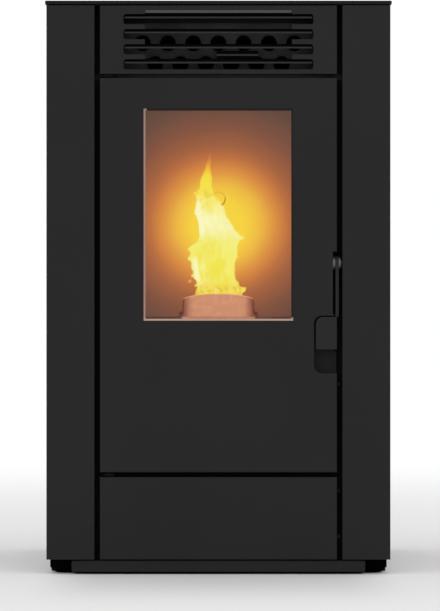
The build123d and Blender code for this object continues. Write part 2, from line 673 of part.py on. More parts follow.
def door_frame():
    frame = block(X_DOOR_FRAME_LEFT, X_DOOR_FRAME_RIGHT, Y_DOOR_FRAME, Y_DOOR_FRAME_REAR,
                  Z_DOOR_FRAME, Z_DOOR_FRAME_TOP)
    half = WINDOW_WIDTH / 2 + GLASS_BORDER - 6
    margin = GLASS_BORDER - 4.5
    frame -= block(-half, half, Y_DOOR_FRAME - 1, Y_DOOR_FRAME_REAR + 1, WINDOW_BOTTOM - margin, WINDOW_TOP + margin)
    frame -= rope_slot(2 * ROPE_R + 2 * FIT)
    grow = DOOR_SHEET + 2
    frame -= block(X_NOTCH - grow, X_CENTRE, Y_DOOR_FRAME - 1, Y_DOOR_FRAME_REAR + 1,
                   NOTCH_BOTTOM - grow, NOTCH_TOP + grow)
    boss_x = X_DOOR_FRAME_RIGHT - 20
    for x in (-boss_x, boss_x):
        for z in (Z_DOOR_FRAME + 14, Z_DOOR_FRAME_TOP - 14):
            frame += rod_y(Y_FRONT + DOOR_SHEET, Y_DOOR_FRAME + 1, x, z, 6)
    frame += block(X_BRACKET_IN, X_BRACKET, Y_FRONT + 3, Y_DOOR_FRAME_REAR, HANDLE_PIVOT_Z - 14.5, HANDLE_PIVOT_Z + 14.5)
    return frame - rod_x(X_BRACKET_IN + 1, X_BRACKET + 1, Y_PIVOT, HANDLE_PIVOT_Z, BOLT_R + RUNNING_FIT)


def glass_ring_size():
    half = WINDOW_WIDTH / 2 + GLASS_BORDER
    return half, WINDOW_BOTTOM - GLASS_BORDER, WINDOW_TOP + GLASS_BORDER


def door_glass():
    half, z0, z1 = glass_ring_size()
    return rounded_slab(-half, half, Y_GLASS, Y_GASKET, z0, z1, 3)


def glass_gasket():
    half, z0, z1 = glass_ring_size()
    outer = block(-half, half, Y_GASKET, Y_DOOR_FRAME, z0, z1)
    w = GASKET_WIDTH
    return outer - block(w - half, half - w, Y_GASKET - 1, Y_DOOR_FRAME + 1, z0 + w, z1 - w)


def glass_clip(z):
    """A stepped clip at the right-hand edge of the glass, with its screw head."""
    half = glass_ring_size()[0]
    y0 = Y_GLASS - SHEET
    y1 = Y_DOOR_FRAME - SHEET
    x1 = half + 0.5 + SHEET
    x2 = half + 13
    outline = [(half - 4, y0), (x1, y0), (x1, y1), (x2, y1), (x2, Y_DOOR_FRAME),
               (half + 0.5, Y_DOOR_FRAME), (half + 0.5, Y_GLASS), (half - 4, Y_GLASS)]
    return prism_z(outline, z - 8, z + 8) + rod_y(y1 - SCREW_HEAD, y1 + 0.5, half + 8, z, 4)


def glass_clips():
    middle = (WINDOW_BOTTOM + WINDOW_TOP) / 2
    clips = [glass_clip(middle + step * WINDOW_HEIGHT * 0.4) for step in (-1, 0, 1)]
    return group(piece for clip in clips for piece in both_sides(clip))


def door_rope_seal():
    x = OPENING_HALF + ROPE_OUTSET
    z0 = OPENING_BOTTOM - ROPE_OUTSET
    z1 = OPENING_TOP + ROPE_OUTSET
    r = ROPE_CORNER
    rope = []
    for side in (-1, 1):
        rope.append(rod_z(z0 + r, z1 - r, side * x, Y_ROPE, ROPE_R))
    for z in (z0, z1):
        rope.append(rod_x(r - x, x - r, Y_ROPE, z, ROPE_R))
    quarter = Torus(r, ROPE_R, major_angle=90, align=None)
    corners = ((x - r, z1 - r, 0), (r - x, z1 - r, -90), (r - x, z0 + r, 180), (x - r, z0 + r, 90))
    for corner_x, corner_z, turn in corners:
        rope.append(Pos(corner_x, Y_ROPE, corner_z) * Rot(0, turn, 0) * Rot(90, 0, 0) * quarter)
    seal = rope[0]
    for piece in rope[1:]:
        seal += piece
    return seal


def hinge_block(z0):
    body = block(X_HINGE - 9, X_DOOR_FRAME_LEFT, Y_HINGE - 8, Y_HINGE + 8, z0, z0 + HINGE_BLOCK_HEIGHT)
    body = fillet(edges_at(body, Axis.Z, X=X_HINGE - 9), 4)
    return body - rod_z(z0 - 1, z0 + HINGE_BLOCK_HEIGHT + 1, X_HINGE, Y_HINGE, HINGE_PIN_R + RUNNING_FIT)


def door_hinge_blocks():
    low = Z_DOOR + DOOR_SHEET + FIT
    high = Z_DOOR_TOP - DOOR_SHEET - FIT - HINGE_BLOCK_HEIGHT
    return group([hinge_block(low), hinge_block(high)])


def hinge_bracket(z_shelf, z_pin, z_tab):
    """A shelf on the front plate with a pin, and a tab screwed to the plate."""
    shelf = block(X_HINGE - 10, X_HINGE + 10, Y_HINGE - 9, Y_PLATE, z_shelf[0], z_shelf[1])
    shelf = fillet(edges_at(shelf, Axis.Z, Y=Y_HINGE - 9), 8)
    tab = block(X_HINGE - 10, X_HINGE + 10, Y_PLATE - PLATE, Y_PLATE, z_tab[0], z_tab[1])
    return shelf + tab + rod_z(z_pin[0], z_pin[1], X_HINGE, Y_HINGE, HINGE_PIN_R)


def door_hinge_brackets():
    low = Z_DOOR - 2
    collar = rod_z(low - 1, Z_DOOR + DOOR_SHEET, X_HINGE, Y_HINGE, HINGE_PIN_R + 0.6)
    lower = hinge_bracket((low - 4, low), (low - 1, low + HINGE_PIN_REACH), (low - 4, low + 26)) + collar
    high = Z_DOOR_TOP + 2
    upper = hinge_bracket((high, high + 4), (high - HINGE_PIN_REACH, high + 1), (high, high + 4))
    return group([lower, upper])


# ---- handle ----
def handle_lever():
    y0 = Y_FRONT + LEVER_SETBACK
    y1 = y0 + LEVER_WIDTH
    tail_top = Z_KEEPER - KEEPER_R - FIT
    tail_rear = Y_PLATE - PLATE - 0.5
    outline = [(y0, Z_TAB), (y0, HANDLE_PIVOT_Z), (y1, HANDLE_PIVOT_Z), (y1, tail_top),
               (tail_rear, tail_top), (tail_rear, tail_top - TAIL_THICK), (y1, tail_top - 2 * TAIL_THICK),
               (y1 - 4, TAB_TOP - 6), (y1 - 8, Z_TAB)]
    leaf = prism_x(outline, X_LEVER_IN, X_LEVER) + rod_x(X_LEVER_IN, X_LEVER, Y_PIVOT, HANDLE_PIVOT_Z, LEVER_HEAD_R)
    leaf -= block(X_CENTRE, X_LEVER + 1, Y_FRONT, y1 + 1, Z_TAB - 1, TAB_TOP)
    tab = block(X_CENTRE - TAB_WIDTH, X_CENTRE, Y_FRONT, Y_FRONT + LEVER_THICK, Z_TAB, TAB_TOP)
    tab = fillet(edges_at(tab, Axis.Y, X=X_CENTRE - TAB_WIDTH, Z=TAB_TOP), TAB_CORNER)
    tab = fillet(edges_at(tab, Axis.Y, X=X_CENTRE - TAB_WIDTH, Z=Z_TAB), TAB_CORNER / 4)
    tab = fillet(edges_at(tab, Axis.Z, X=X_CENTRE, Y=Y_FRONT), TAB_EDGE_R)
    lever = leaf + tab
    return lever - rod_x(X_LEVER_IN - 1, X_LEVER + 1, Y_PIVOT, HANDLE_PIVOT_Z, BOLT_R + RUNNING_FIT)


def washer(x0, x1):
    ring = rod_x(x0, x1, Y_PIVOT, HANDLE_PIVOT_Z, WASHER_R)
    return ring - rod_x(x0 - 1, x1 + 1, Y_PIVOT, HANDLE_PIVOT_Z, BOLT_R + RUNNING_FIT)


def handle_fasteners():
    """The pivot bolt with its head, the spacer inside the lever and the washer outside it."""
    outer = X_LEVER + FIT
    head_x = outer + WASHER_THICK
    head = rod_x(head_x, head_x + 2.6, Y_PIVOT, HANDLE_PIVOT_Z, BOLT_HEAD_R)
    head = fillet(edges_of_face(head, head_x + 2.6), 1.2)
    bolt = head + rod_x(X_BRACKET_IN + 2, head_x + 1, Y_PIVOT, HANDLE_PIVOT_Z, BOLT_R)
    return group([bolt, washer(X_BRACKET, X_LEVER_IN - FIT), washer(outer, head_x)])


def edges_of_face(shape, x):
    return shape.edges().filter_by(lambda e: abs(e.center().X - x) < 0.01 and e.geom_type == GeomType.CIRCLE)


def latch_keeper():
    """A pin between two arms, on a base that is screwed to the front plate."""
    x0, x1 = X_BRACKET + 2, X_LEVER + 7
    base = block(x0, x1, Y_PLATE - PLATE, Y_PLATE, Z_KEEPER - 12, Z_KEEPER + 12)
    keeper = base + rod_x(x0, x1, Y_KEEPER, Z_KEEPER, KEEPER_R)
    for x in (x0, x1 - 3):
        arm = block(x, x + 3, Y_KEEPER - KEEPER_R, Y_PLATE, Z_KEEPER - KEEPER_R, Z_KEEPER + KEEPER_R + 1)
        keeper += arm
    return keeper


# ---- firebox ----
def chute_cylinder(radius, extra=0):
    """The chute's cylinder, from the auger's axis down to the firebox."""
    start = AUGER_PLANE * Pos(0, 0, AUGER_OUTLET)
    origin = start.position
    slope = radians(CHUTE_SLOPE)
    plane = Plane(origin=origin, x_dir=(1, 0, 0), z_dir=(0, -cos(slope), -sin(slope)))
    reach = (origin.Y - (Y_FIREBOX - CHUTE_MOUTH_SETBACK)) / cos(slope) + 40 + extra
    return plane * Cylinder(radius, reach, align=(Align.CENTER, Align.CENTER, Align.MIN))


def firebox_shell():
    y0 = Y_PLATE_REAR
    outer_x = X_FIREBOX + PLATE
    shell = block(-outer_x, outer_x, y0, Y_FIREBOX, Z_FIREBOX, Z_FIREBOX_TOP)
    shell -= block(-X_FIREBOX, X_FIREBOX, y0 - 1, Y_FIREBOX - PLATE, Z_FIREBOX + PLATE, Z_FIREBOX_TOP - PLATE)
    shell -= block(-120, 120, y0 + 20, Y_FIREBOX - 50, Z_FIREBOX - 1, Z_FIREBOX + PLATE + 1)
    shell -= block(-120, 120, y0 + 22, y0 + 47, Z_FIREBOX_TOP - PLATE - 1, Z_FIREBOX_TOP + 1)
    for side in (-1, 1):
        x0, x1 = sorted((side * (X_FIREBOX - 18), side * (X_FIREBOX - 5)))
        shell -= block(x0, x1, y0 + 60, Y_FIREBOX - 60, Z_FIREBOX_TOP - PLATE - 1, Z_FIREBOX_TOP + 1)
        x0, x1 = sorted((side * (X_FIREBOX - 7), side * X_FIREBOX))
        ledge_top = Z_HEARTH - HEARTH_THICK
        shell += block(x0, x1, y0 + 12, Y_FIREBOX - 20, ledge_top - 4, ledge_top)
    y_wall = Y_FIREBOX - PLATE - 1
    shell -= rod_y(y_wall, Y_FIREBOX + 1, INTAKE_X, Z_INTAKE, INTAKE_R + FIT)
    shell -= rod_y(y_wall, Y_FIREBOX + 1, IGNITER_X, Z_IGNITER, IGNITER_R + FIT)
    shell -= rod_y(y_wall, Y_FIREBOX + 1, FAN_X, FAN_Z, FLUE_R - FLUE_WALL)
    return shell - chute_cylinder(CHUTE_R + FIT)


def hearth_plate():
    z1 = Z_HEARTH
    y1 = Y_FIREBOX - PLATE - FIT
    half = X_FIREBOX - FIT
    plate = block(-half, half, Y_PLATE_REAR + 7, y1, z1 - HEARTH_THICK, z1)
    plate -= rod_z(z1 - HEARTH_THICK - 1, z1 + 1, 0, Y_POT, POT_CUP_R + FIT)
    for side in (-1, 1):
        x0, x1 = sorted((side * (X_LINER + 1.5), side * (X_LINER + 4.8)))
        plate -= block(x0, x1, Y_PLATE_REAR + 30, Y_FIREBOX - 50, z1 - HEARTH_THICK - 1, z1 + 1)
    plate -= block(-100, 100, Y_FIREBACK + 2, Y_FIREBACK + 15, z1 - HEARTH_THICK - 1, z1 + 1)
    plate -= block(-100, 100, Y_PLATE_REAR + 16, Y_PLATE_REAR + 42, z1 - HEARTH_THICK - 1, z1 + 1)
    return plate


def burn_pot():
    """A round pot whose rim is higher at the front, with a flange that sits on the hearth plate."""
    z0 = Z_HEARTH
    front_rim = z0 + POT_FRONT_RISE
    wall_top = front_rim + 4
    height = wall_top - z0
    foot_r = POT_R + POT_FLARE
    wall = Pos(0, Y_POT, z0 + height / 2) * Cone(foot_r, POT_R, height)
    flange = rod_z(z0, z0 + POT_FLANGE_THICK, 0, Y_POT, POT_FLANGE_R)
    cup = rod_z(Z_POT_CUP, z0 + 1, 0, Y_POT, POT_CUP_R)
    pot = wall + flange + cup
    for side in (-1, 1):
        x0, x1 = sorted((side * (foot_r - 1), side * POT_FLANGE_R))
        pot += block(x0, x1, Y_POT - 4, Y_POT + 4, z0 + 1, z0 + 8)
    step = z0 + POT_FLANGE_THICK
    pot -= rod_z(Z_POT_CUP + POT_WALL, step + 1, 0, Y_POT, POT_CUP_R - POT_WALL)
    hollow_height = wall_top + 1 - step
    pot -= Pos(0, Y_POT, step + hollow_height / 2) * Cone(foot_r - POT_WALL, POT_R - POT_WALL, hollow_height)
    fall = (POT_FRONT_RISE - POT_REAR_RISE) / (2 * POT_R)
    reach = POT_R + 20
    rim = [(Y_POT - reach, front_rim + fall * (reach - POT_R)), (Y_POT - reach, wall_top + 20),
           (Y_POT + reach, wall_top + 20), (Y_POT + reach, front_rim - fall * (reach + POT_R))]
    pot -= prism_x(rim, -reach, reach)
    for index in range(8):
        angle = 2 * pi * (index + 0.5) / 8
        tip = (POT_CUP_R - 10) * cos(angle), (POT_CUP_R - 10) * sin(angle)
        pot -= rod_z(Z_POT_CUP - 1, Z_POT_CUP + POT_WALL + 1, tip[0], Y_POT + tip[1], 2.5)
        pot -= rod_z(Z_POT_CUP - 1, Z_POT_CUP + POT_WALL + 1, tip[0] / 2, Y_POT + tip[1] / 2, 2.5)
    for angle in range(0, 360, 45):
        pot -= Pos(0, Y_POT, z0 - 24) * Rot(0, 0, angle) * rod_x(POT_CUP_R - 6, POT_CUP_R + 1, 0, 0, 3)
    return pot


def air_box():
    x1 = AIR_BOX_WIDTH / 2
    z1 = Z_HEARTH - HEARTH_THICK
    t = AIR_BOX_SHEET
    box = block(-x1, x1, Y_AIR_BOX, Y_AIR_BOX_REAR, Z_AIR_BOX, z1)
    box -= block(t - x1, x1 - t, Y_AIR_BOX + t, Y_AIR_BOX_REAR - t, Z_AIR_BOX + t, z1 + 1)
    box -= rod_y(Y_AIR_BOX_REAR - t - 1, Y_AIR_BOX_REAR + 1, INTAKE_X, Z_INTAKE, INTAKE_R - INTAKE_WALL)
    return box - rod_y(Y_AIR_BOX_REAR - t - 1, Y_AIR_BOX_REAR + 1, IGNITER_X, Z_IGNITER, IGNITER_R + FIT)


def igniter():
    y0 = Y_POT + POT_CUP_R + FIT
    rod = rod_y(y0, Y_FIREBOX + 22, IGNITER_X, Z_IGNITER, IGNITER_R)
    return rod + rod_y(Y_FIREBOX, Y_FIREBOX + 8, IGNITER_X, Z_IGNITER, IGNITER_R + 4)


def side_liners():
    liner = block(X_LINER - LINER_THICK, X_LINER, Y_PLATE_REAR + 12, Y_FIREBACK - LINER_THICK, Z_HEARTH, Z_BAFFLE)
    return group(both_sides(liner))


def fireback():
    z_boss = Z_HEARTH + FIREBACK_BOSS_Z
    y0 = Y_FIREBACK - LINER_THICK
    slab = block(-X_LINER, X_LINER, y0, Y_FIREBACK, Z_HEARTH, Z_BAFFLE)
    return slab + rod_y(y0 - 3, y0 + 1, 0, z_boss, FIREBACK_BOSS_R)


def baffle_plate():
    y1 = Y_FIREBACK
    plate = block(-X_LINER, X_LINER, y1 - BAFFLE_DEPTH, y1, Z_BAFFLE, Z_BAFFLE + BAFFLE_THICK)
    half = CHUTE_R + 5
    return plate - block(-half, half, y1 - 70, y1 + 1, Z_BAFFLE - 1, Z_BAFFLE + BAFFLE_THICK + 1)


# ---- heat exchanger ----
def tube_places():
    upper = [((i - (TUBES_UPPER - 1) / 2) * TUBE_PITCH, Z_ROW_UPPER) for i in range(TUBES_UPPER)]
    lower = [((i - (TUBES_LOWER - 1) / 2) * TUBE_PITCH, Z_ROW_LOWER) for i in range(TUBES_LOWER)]
    return upper + lower


def scraper_rod_places():
    half = SCRAPER_ROD_SPREAD / 2
    return SCRAPER_ROD_X - half, SCRAPER_ROD_X + half


def exchanger_box():
    x1 = EXCHANGER_WIDTH / 2
    z0, z1 = Z_FIREBOX_TOP, Z_EXCHANGER_TOP
    box = block(-x1, x1, Y_PLATE, Y_EXCHANGER, z0, z1)
    box -= block(PLATE - x1, x1 - PLATE, Y_PLATE + PLATE, Y_EXCHANGER - PLATE, z0 - 1, z1 - PLATE)
    for x, z in tube_places():
        box -= rod_y(Y_PLATE - 1, Y_EXCHANGER + 1, x, z, TUBE_R + RUNNING_FIT)
    for x in scraper_rod_places():
        box -= rod_y(Y_PLATE - 1, Y_PLATE + PLATE + 1, x, Z_SCRAPER, SCRAPER_ROD_R + RUNNING_FIT)
    return box


def heat_tubes():
    tubes = []
    for x, z in tube_places():
        tube = rod_y(Y_PLATE, Y_EXCHANGER, x, z, TUBE_R)
        tubes.append(tube - rod_y(Y_PLATE - 1, Y_EXCHANGER + 1, x, z, TUBE_R - TUBE_WALL))
    return group(tubes)


def tube_scraper():
    x1 = EXCHANGER_WIDTH / 2 - PLATE - 2
    y0, y1 = Y_SCRAPER - SCRAPER_PLATE, Y_SCRAPER
    plate = block(-x1, x1, y0, y1, Z_FIREBOX_TOP + 2, Z_EXCHANGER_TOP - PLATE - 2)
    for x, z in tube_places():
        plate -= rod_y(y0 - 1, y1 + 1, x, z, TUBE_R + FIT)
    for x in scraper_rod_places():
        plate += rod_y(Y_SCRAPER_HANDLE, y1, x, Z_SCRAPER, SCRAPER_ROD_R)
    return plate


def scraper_handle():
    x0 = SCRAPER_ROD_X - SCRAPER_HANDLE_WIDTH / 2
    x1 = SCRAPER_ROD_X + SCRAPER_HANDLE_WIDTH / 2
    z1 = Z_SCRAPER + 4
    y1 = Y_SCRAPER_HANDLE
    y0 = y1 - SCRAPER_HANDLE_DEPTH
    plate_z = z1 - SCRAPER_HANDLE_DROP
    upright = block(x0, x1, y1 - PLATE, y1, z1 - SCRAPER_HANDLE_HEIGHT, z1)
    plate = block(x0, x1, y0, y1, plate_z - PLATE, plate_z)
    lip = block(x0, x1, y0, y0 + SHEET, plate_z - SCRAPER_HANDLE_LIP, plate_z)
    return upright + plate + lip


# ---- hopper lid ----
def lid_hinge_places():
    return (-LID_HINGE_SPREAD / 2, LID_HINGE_SPREAD / 2)


def hopper_lid():
    half = LID_WIDTH / 2
    lid = block(-half, half, Y_LID, Y_LID_REAR, Z_PLATE, HEIGHT)
    lid = fillet(edges_at(lid, Axis.Z, Y=Y_LID), 2)
    knuckle = LID_KNUCKLE_LENGTH / 2
    for x in lid_hinge_places():
        lid += block(x - knuckle, x + knuckle, Y_LID_REAR - 1, Y_LID_HINGE, Z_PLATE, HEIGHT)
        lid += rod_x(x - knuckle, x + knuckle, Y_LID_HINGE, Z_LID_HINGE, LID_KNUCKLE_R)
        lid -= rod_x(x - knuckle - 1, x + knuckle + 1, Y_LID_HINGE, Z_LID_HINGE, LID_PIN_R + RUNNING_FIT)
    return lid - rod_z(HEIGHT - TOP_PLATE_THICK / 2, HEIGHT + 1, 0, Y_LID, 14)


def lid_hinge_bracket(x):
    """Two outer knuckles with the pin through them, on a leaf under the top plate."""
    inner = LID_KNUCKLE_LENGTH / 2 + FIT
    outer = inner + LID_KNUCKLE_LENGTH / 2
    leaf = block(x - outer, x + outer, Y_LID_HINGE + 1, Y_REAR, Z_PLATE - SHEET, Z_PLATE)
    bracket = leaf + rod_x(x - outer, x + outer, Y_LID_HINGE, Z_LID_HINGE, LID_PIN_R)
    for x0, x1 in ((x - outer, x - inner), (x + inner, x + outer)):
        bracket += rod_x(x0, x1, Y_LID_HINGE, Z_LID_HINGE, LID_KNUCKLE_R)
        bracket += block(x0, x1, Y_LID_HINGE - 1, Y_LID_HINGE + 4.7, Z_PLATE - SHEET, Z_LID_HINGE)
    return bracket


def lid_hinge_brackets():
    return group(lid_hinge_bracket(x) for x in lid_hinge_places())


def mouth_ring(z0, z1, out, width):
    """A flat ring round the hopper's mouth: its outer edge is out from the mouth."""
    x1 = HOPPER_MOUTH_WIDTH / 2 + out
    y0 = Y_HOPPER_MOUTH - out
    y1 = Y_HOPPER_REAR + out
    ring = block(-x1, x1, y0, y1, z0, z1)
    return ring - block(width - x1, x1 - width, y0 + width, y1 - width, z0 - 1, z1 + 1)


def lid_seal():
    return mouth_ring(Z_HOPPER_RIM + FIT, Z_PLATE, SEAL_WIDTH - 1, SEAL_WIDTH)


# ---- hopper and auger ----
def hopper_solid(grow, top):
    """The hopper's space, enlarged by grow: a tapered bin whose spout ends on the auger's axis."""
    slope = radians(AUGER_SLOPE)
    surface = (AUGER_TUBE_R + 8) / sin(slope)
    low_front, low_rear = Z_AUGER + 44, Z_AUGER + 16
    z_throat = Z_AUGER + 64
    z_shoulder = Z_HOPPER_TOP - 104
    z_rear = Z_AUGER + 110

    def axis_y(z):
        return Y_AUGER - (z - Z_AUGER) / tan(slope)

    y_bin = Y_HOPPER_MOUTH - HOPPER_FRONT_GAP
    z_bin = Z_AUGER + (Y_AUGER + surface - y_bin) * tan(slope)
    side_view = [(Y_HOPPER_REAR, top), (y_bin, top), (y_bin, z_bin), (axis_y(z_throat) + surface, z_throat),
                 (axis_y(low_front), low_front), (axis_y(low_rear), low_rear), (Y_HOPPER_REAR, z_rear)]
    half = HOPPER_WIDTH / 2
    spout = HOPPER_SPOUT_WIDTH / 2
    front_view = [(-half, top), (half, top), (half, z_shoulder), (spout, low_front), (spout, low_rear - 20),
                  (-spout, low_rear - 20), (-spout, low_front), (-half, z_shoulder)]
    side_face = make_face(Polyline(*side_view, close=True))
    front_face = make_face(Polyline(*front_view, close=True))
    if grow:
        side_face = offset(side_face, grow, kind=Kind.INTERSECTION)
        front_face = offset(front_face, grow, kind=Kind.INTERSECTION)
    side_body = extrude(Plane.YZ.offset(-half - 10) * side_face, amount=2 * half + 20, dir=(1, 0, 0))
    front_body = extrude(Plane.XZ.offset(-Y_FIREBOX) * front_face, amount=BODY_DEPTH, dir=(0, 1, 0))
    return side_body & front_body


def auger_cylinder(radius, start=0, end=AUGER_LENGTH):
    align = (Align.CENTER, Align.CENTER, Align.MIN)
    return AUGER_PLANE * Pos(0, 0, start) * Cylinder(radius, end - start, align=align)


def pellet_hopper():
    wall = HOPPER_SHEET
    hopper = hopper_solid(wall, Z_HOPPER_TOP - wall) - hopper_solid(0, Z_HOPPER_TOP - wall)
    x1 = HOPPER_MOUTH_WIDTH / 2
    hopper -= block(-x1, x1, Y_HOPPER_MOUTH, Y_HOPPER_REAR, Z_HOPPER_TOP - 2 * wall, Z_HOPPER_TOP + 1)
    hopper += mouth_ring(Z_HOPPER_RIM - HOPPER_NECK_LENGTH, Z_HOPPER_RIM, wall, wall)
    hopper += mouth_ring(Z_HOPPER_RIM - wall, Z_HOPPER_RIM, SEAL_WIDTH, SEAL_WIDTH)
    bracket = block(90, 130, Y_HOPPER_REAR + wall / 2, Y_REAR_IN - POST_SHEET, Z_HOPPER_TOP - 12, Z_HOPPER_TOP - 10)
    for piece in both_sides(bracket):
        hopper += piece
    return hopper - auger_cylinder(AUGER_TUBE_R + FIT, -40, AUGER_LENGTH + 40)


def hopper_guard():
    z1 = Z_HOPPER_TOP - 6
    frame = mouth_ring(z1 - 4, z1, -FIT, 6)
    for index in range(-4, 5):
        frame += rod_y(Y_HOPPER_MOUTH + 3, Y_HOPPER_REAR - 3, index * 32, z1 - 2, 2)
    return frame


def auger_tube():
    bore = AUGER_TUBE_R - AUGER_TUBE_WALL
    tube = auger_cylinder(AUGER_TUBE_R) - auger_cylinder(bore, -1, AUGER_LENGTH - AUGER_TUBE_WALL)
    tube -= hopper_solid(0, Z_HOPPER_TOP - HOPPER_SHEET)
    return tube - chute_cylinder(CHUTE_R - CHUTE_WALL)


def auger_screw():
    """A core with one unbroken helical flight."""
    start = 8
    turns_length = AUGER_LENGTH - 2 * start - AUGER_TUBE_WALL
    mean_r = (AUGER_CORE_R - 1 + AUGER_SCREW_R) / 2
    path = Helix(pitch=AUGER_PITCH, height=turns_length, radius=mean_r)
    section = Plane(origin=path @ 0, x_dir=(1, 0, 0), z_dir=path % 0) * Rectangle(
        AUGER_SCREW_R - AUGER_CORE_R + 1, AUGER_FLIGHT)
    flight = sweep(section, path=path, is_frenet=True)
    core = auger_cylinder(AUGER_CORE_R, -22, AUGER_LENGTH - start)
    return core + AUGER_PLANE * Pos(0, 0, start) * flight


def auger_motor():
    align = (Align.CENTER, Align.CENTER, Align.MAX)
    gearbox = AUGER_PLANE * Box(84, 64, 42, align=align)
    gearbox = fillet(gearbox.edges().filter_by(GeomType.LINE).group_by(SortBy.LENGTH)[0], 5)
    motor = AUGER_PLANE * Pos(0, 0, -42) * Cylinder(30, 60, align=align)
    fan_end = AUGER_PLANE * Pos(0, 0, -102) * Cylinder(24, 6, align=align)
    bore = AUGER_PLANE * Cylinder(AUGER_CORE_R + RUNNING_FIT, 23, align=align)
    return gearbox + motor + fan_end - bore


def pellet_chute():
    chute = chute_cylinder(CHUTE_R) - chute_cylinder(CHUTE_R - CHUTE_WALL, 2)
    chute -= auger_cylinder(AUGER_TUBE_R + FIT, -40, AUGER_LENGTH + 40)
    y_mouth = Y_FIREBOX - CHUTE_MOUTH_SETBACK
    return chute - block(-60, 60, y_mouth - 120, y_mouth, Z_BAFFLE - 200, Z_BODY)


# ---- smoke fan and pipes ----
def smoke_fan_housing():
    """A flat scroll with its inlet collar to the firebox and an outlet box to the flue."""
    t = FAN_SHEET
    z0 = FAN_Z - FAN_SCROLL_R
    x1 = FLUE_X + FLUE_R + 5
    z1 = FLUE_Z + FLUE_R + 3

    def shape(grow):
        y0, y1 = Y_FAN - grow, Y_FAN_REAR + grow
        scroll = rod_y(y0, y1, FAN_X, FAN_Z, FAN_SCROLL_R + grow)
        return scroll + block(FAN_X, x1 + grow, y0, y1, z0 - grow, z1 + grow)

    housing = shape(0) - shape(-t)
    collar = FLUE_R
    housing += rod_y(Y_FIREBOX, Y_FAN + 1, FAN_X, FAN_Z, collar)
    housing -= rod_y(Y_FIREBOX - 1, Y_FAN + t + 1, FAN_X, FAN_Z, collar - FLUE_WALL)
    housing -= rod_y(Y_FAN_REAR - t - 1, Y_FAN_REAR + 1, FLUE_X, FLUE_Z, FLUE_R - FLUE_WALL)
    return housing - rod_y(Y_FAN_REAR - t - 1, Y_FAN_REAR + 1, FAN_X, FAN_Z, SHAFT_R + 2)


def smoke_fan_wheel():
    """A back plate, a hub with its shaft, and straight radial blades."""
    y1 = Y_FAN_REAR - FAN_SHEET - 6
    wheel = rod_y(y1 - 3, y1, FAN_X, FAN_Z, FAN_WHEEL_R)
    wheel += rod_y(y1 - 20, y1, FAN_X, FAN_Z, 14)
    wheel += rod_y(y1 - 20, Y_FAN_REAR + 30, FAN_X, FAN_Z, SHAFT_R)
    for index in range(FAN_BLADES):
        blade = block(12, FAN_WHEEL_R - 1, y1 - 30, y1 - 1, -1, 1)
        wheel += Pos(FAN_X, 0, FAN_Z) * Rot(0, index * 360 / FAN_BLADES, 0) * blade
    return wheel


def smoke_fan_motor():
    motor = rod_y(Y_FAN_REAR, Y_FAN_REAR + FAN_MOTOR_LENGTH, FAN_X, FAN_Z, FAN_MOTOR_R)
    motor += rod_y(Y_FAN_REAR, Y_FAN_REAR + 3, FAN_X, FAN_Z, FAN_MOTOR_R + 8)
    for index in range(6):
        rib = block(-3, 3, Y_FAN_REAR + 12, Y_FAN_REAR + FAN_MOTOR_LENGTH - 12, FAN_MOTOR_R - 2, FAN_MOTOR_R + 3)
        motor += Pos(FAN_X, 0, FAN_Z) * Rot(0, index * 60, 0) * rib
    return motor - rod_y(Y_FAN_REAR - 1, Y_FAN_REAR + 31, FAN_X, FAN_Z, SHAFT_R + RUNNING_FIT)


def spigot_bead(x, z, radius):
    """The raised ring behind the rear panel, which the connecting pipe stops against."""
    return rod_y(Y_REAR, Y_REAR + BEAD_WIDTH, x, z, radius + BEAD_HEIGHT)


def flue_outlet():
    pipe = rod_y(Y_FAN_REAR, Y_SPIGOT, FLUE_X, FLUE_Z, FLUE_R)
    pipe += rod_y(Y_FAN_REAR, Y_FAN_REAR + FAN_SHEET, FLUE_X, FLUE_Z, FLUE_R + 4)
    pipe += spigot_bead(FLUE_X, FLUE_Z, FLUE_R)
    return pipe - rod_y(Y_FAN_REAR - 1, Y_SPIGOT + 1, FLUE_X, FLUE_Z, FLUE_R - FLUE_WALL)


def air_intake_pipe():
    pipe = rod_y(Y_AIR_BOX_REAR, Y_SPIGOT, INTAKE_X, Z_INTAKE, INTAKE_R)
    pipe += spigot_bead(INTAKE_X, Z_INTAKE, INTAKE_R)
    return pipe - rod_y(Y_AIR_BOX_REAR - 1, Y_SPIGOT + 1, INTAKE_X, Z_INTAKE, INTAKE_R - INTAKE_WALL)


# ---- room air blower ----
def blower_housing():
    """Two end plates and a curved sheet, open below at the rear and above at the front."""
    x1 = X_BLOWER
    t = PAN_SHEET
    r = BLOWER_SCROLL_R
    wall = rod_x(-x1, x1, BLOWER_Y, BLOWER_Z, r) - rod_x(-x1 - 1, x1 + 1, BLOWER_Y, BLOWER_Z, r - t)
    wall -= block(-x1 - 1, x1 + 1, BLOWER_Y - r - 1, BLOWER_Y, BLOWER_Z, BLOWER_Z + r + 1)
    wall -= block(-x1 - 1, x1 + 1, BLOWER_Y + 10, BLOWER_Y + r + 1, BLOWER_Z - 30, BLOWER_Z + 20)
    wall += block(-x1, x1, BLOWER_Y - r, BLOWER_Y - r + t, BLOWER_Z, BLOWER_Z + r + 10)
    wall += block(-x1, x1, BLOWER_Y - t, BLOWER_Y, BLOWER_Z + r - t, BLOWER_Z + r + 10)
    end = block(x1, x1 + t, BLOWER_Y - r - 4, BLOWER_Y + r + 14, Z_FLOOR, BLOWER_Z + r + 10)
    end -= rod_x(x1 - 1, x1 + t + 1, BLOWER_Y, BLOWER_Z, SHAFT_R + RUNNING_FIT)
    for piece in both_sides(end):
        wall += piece
    return wall


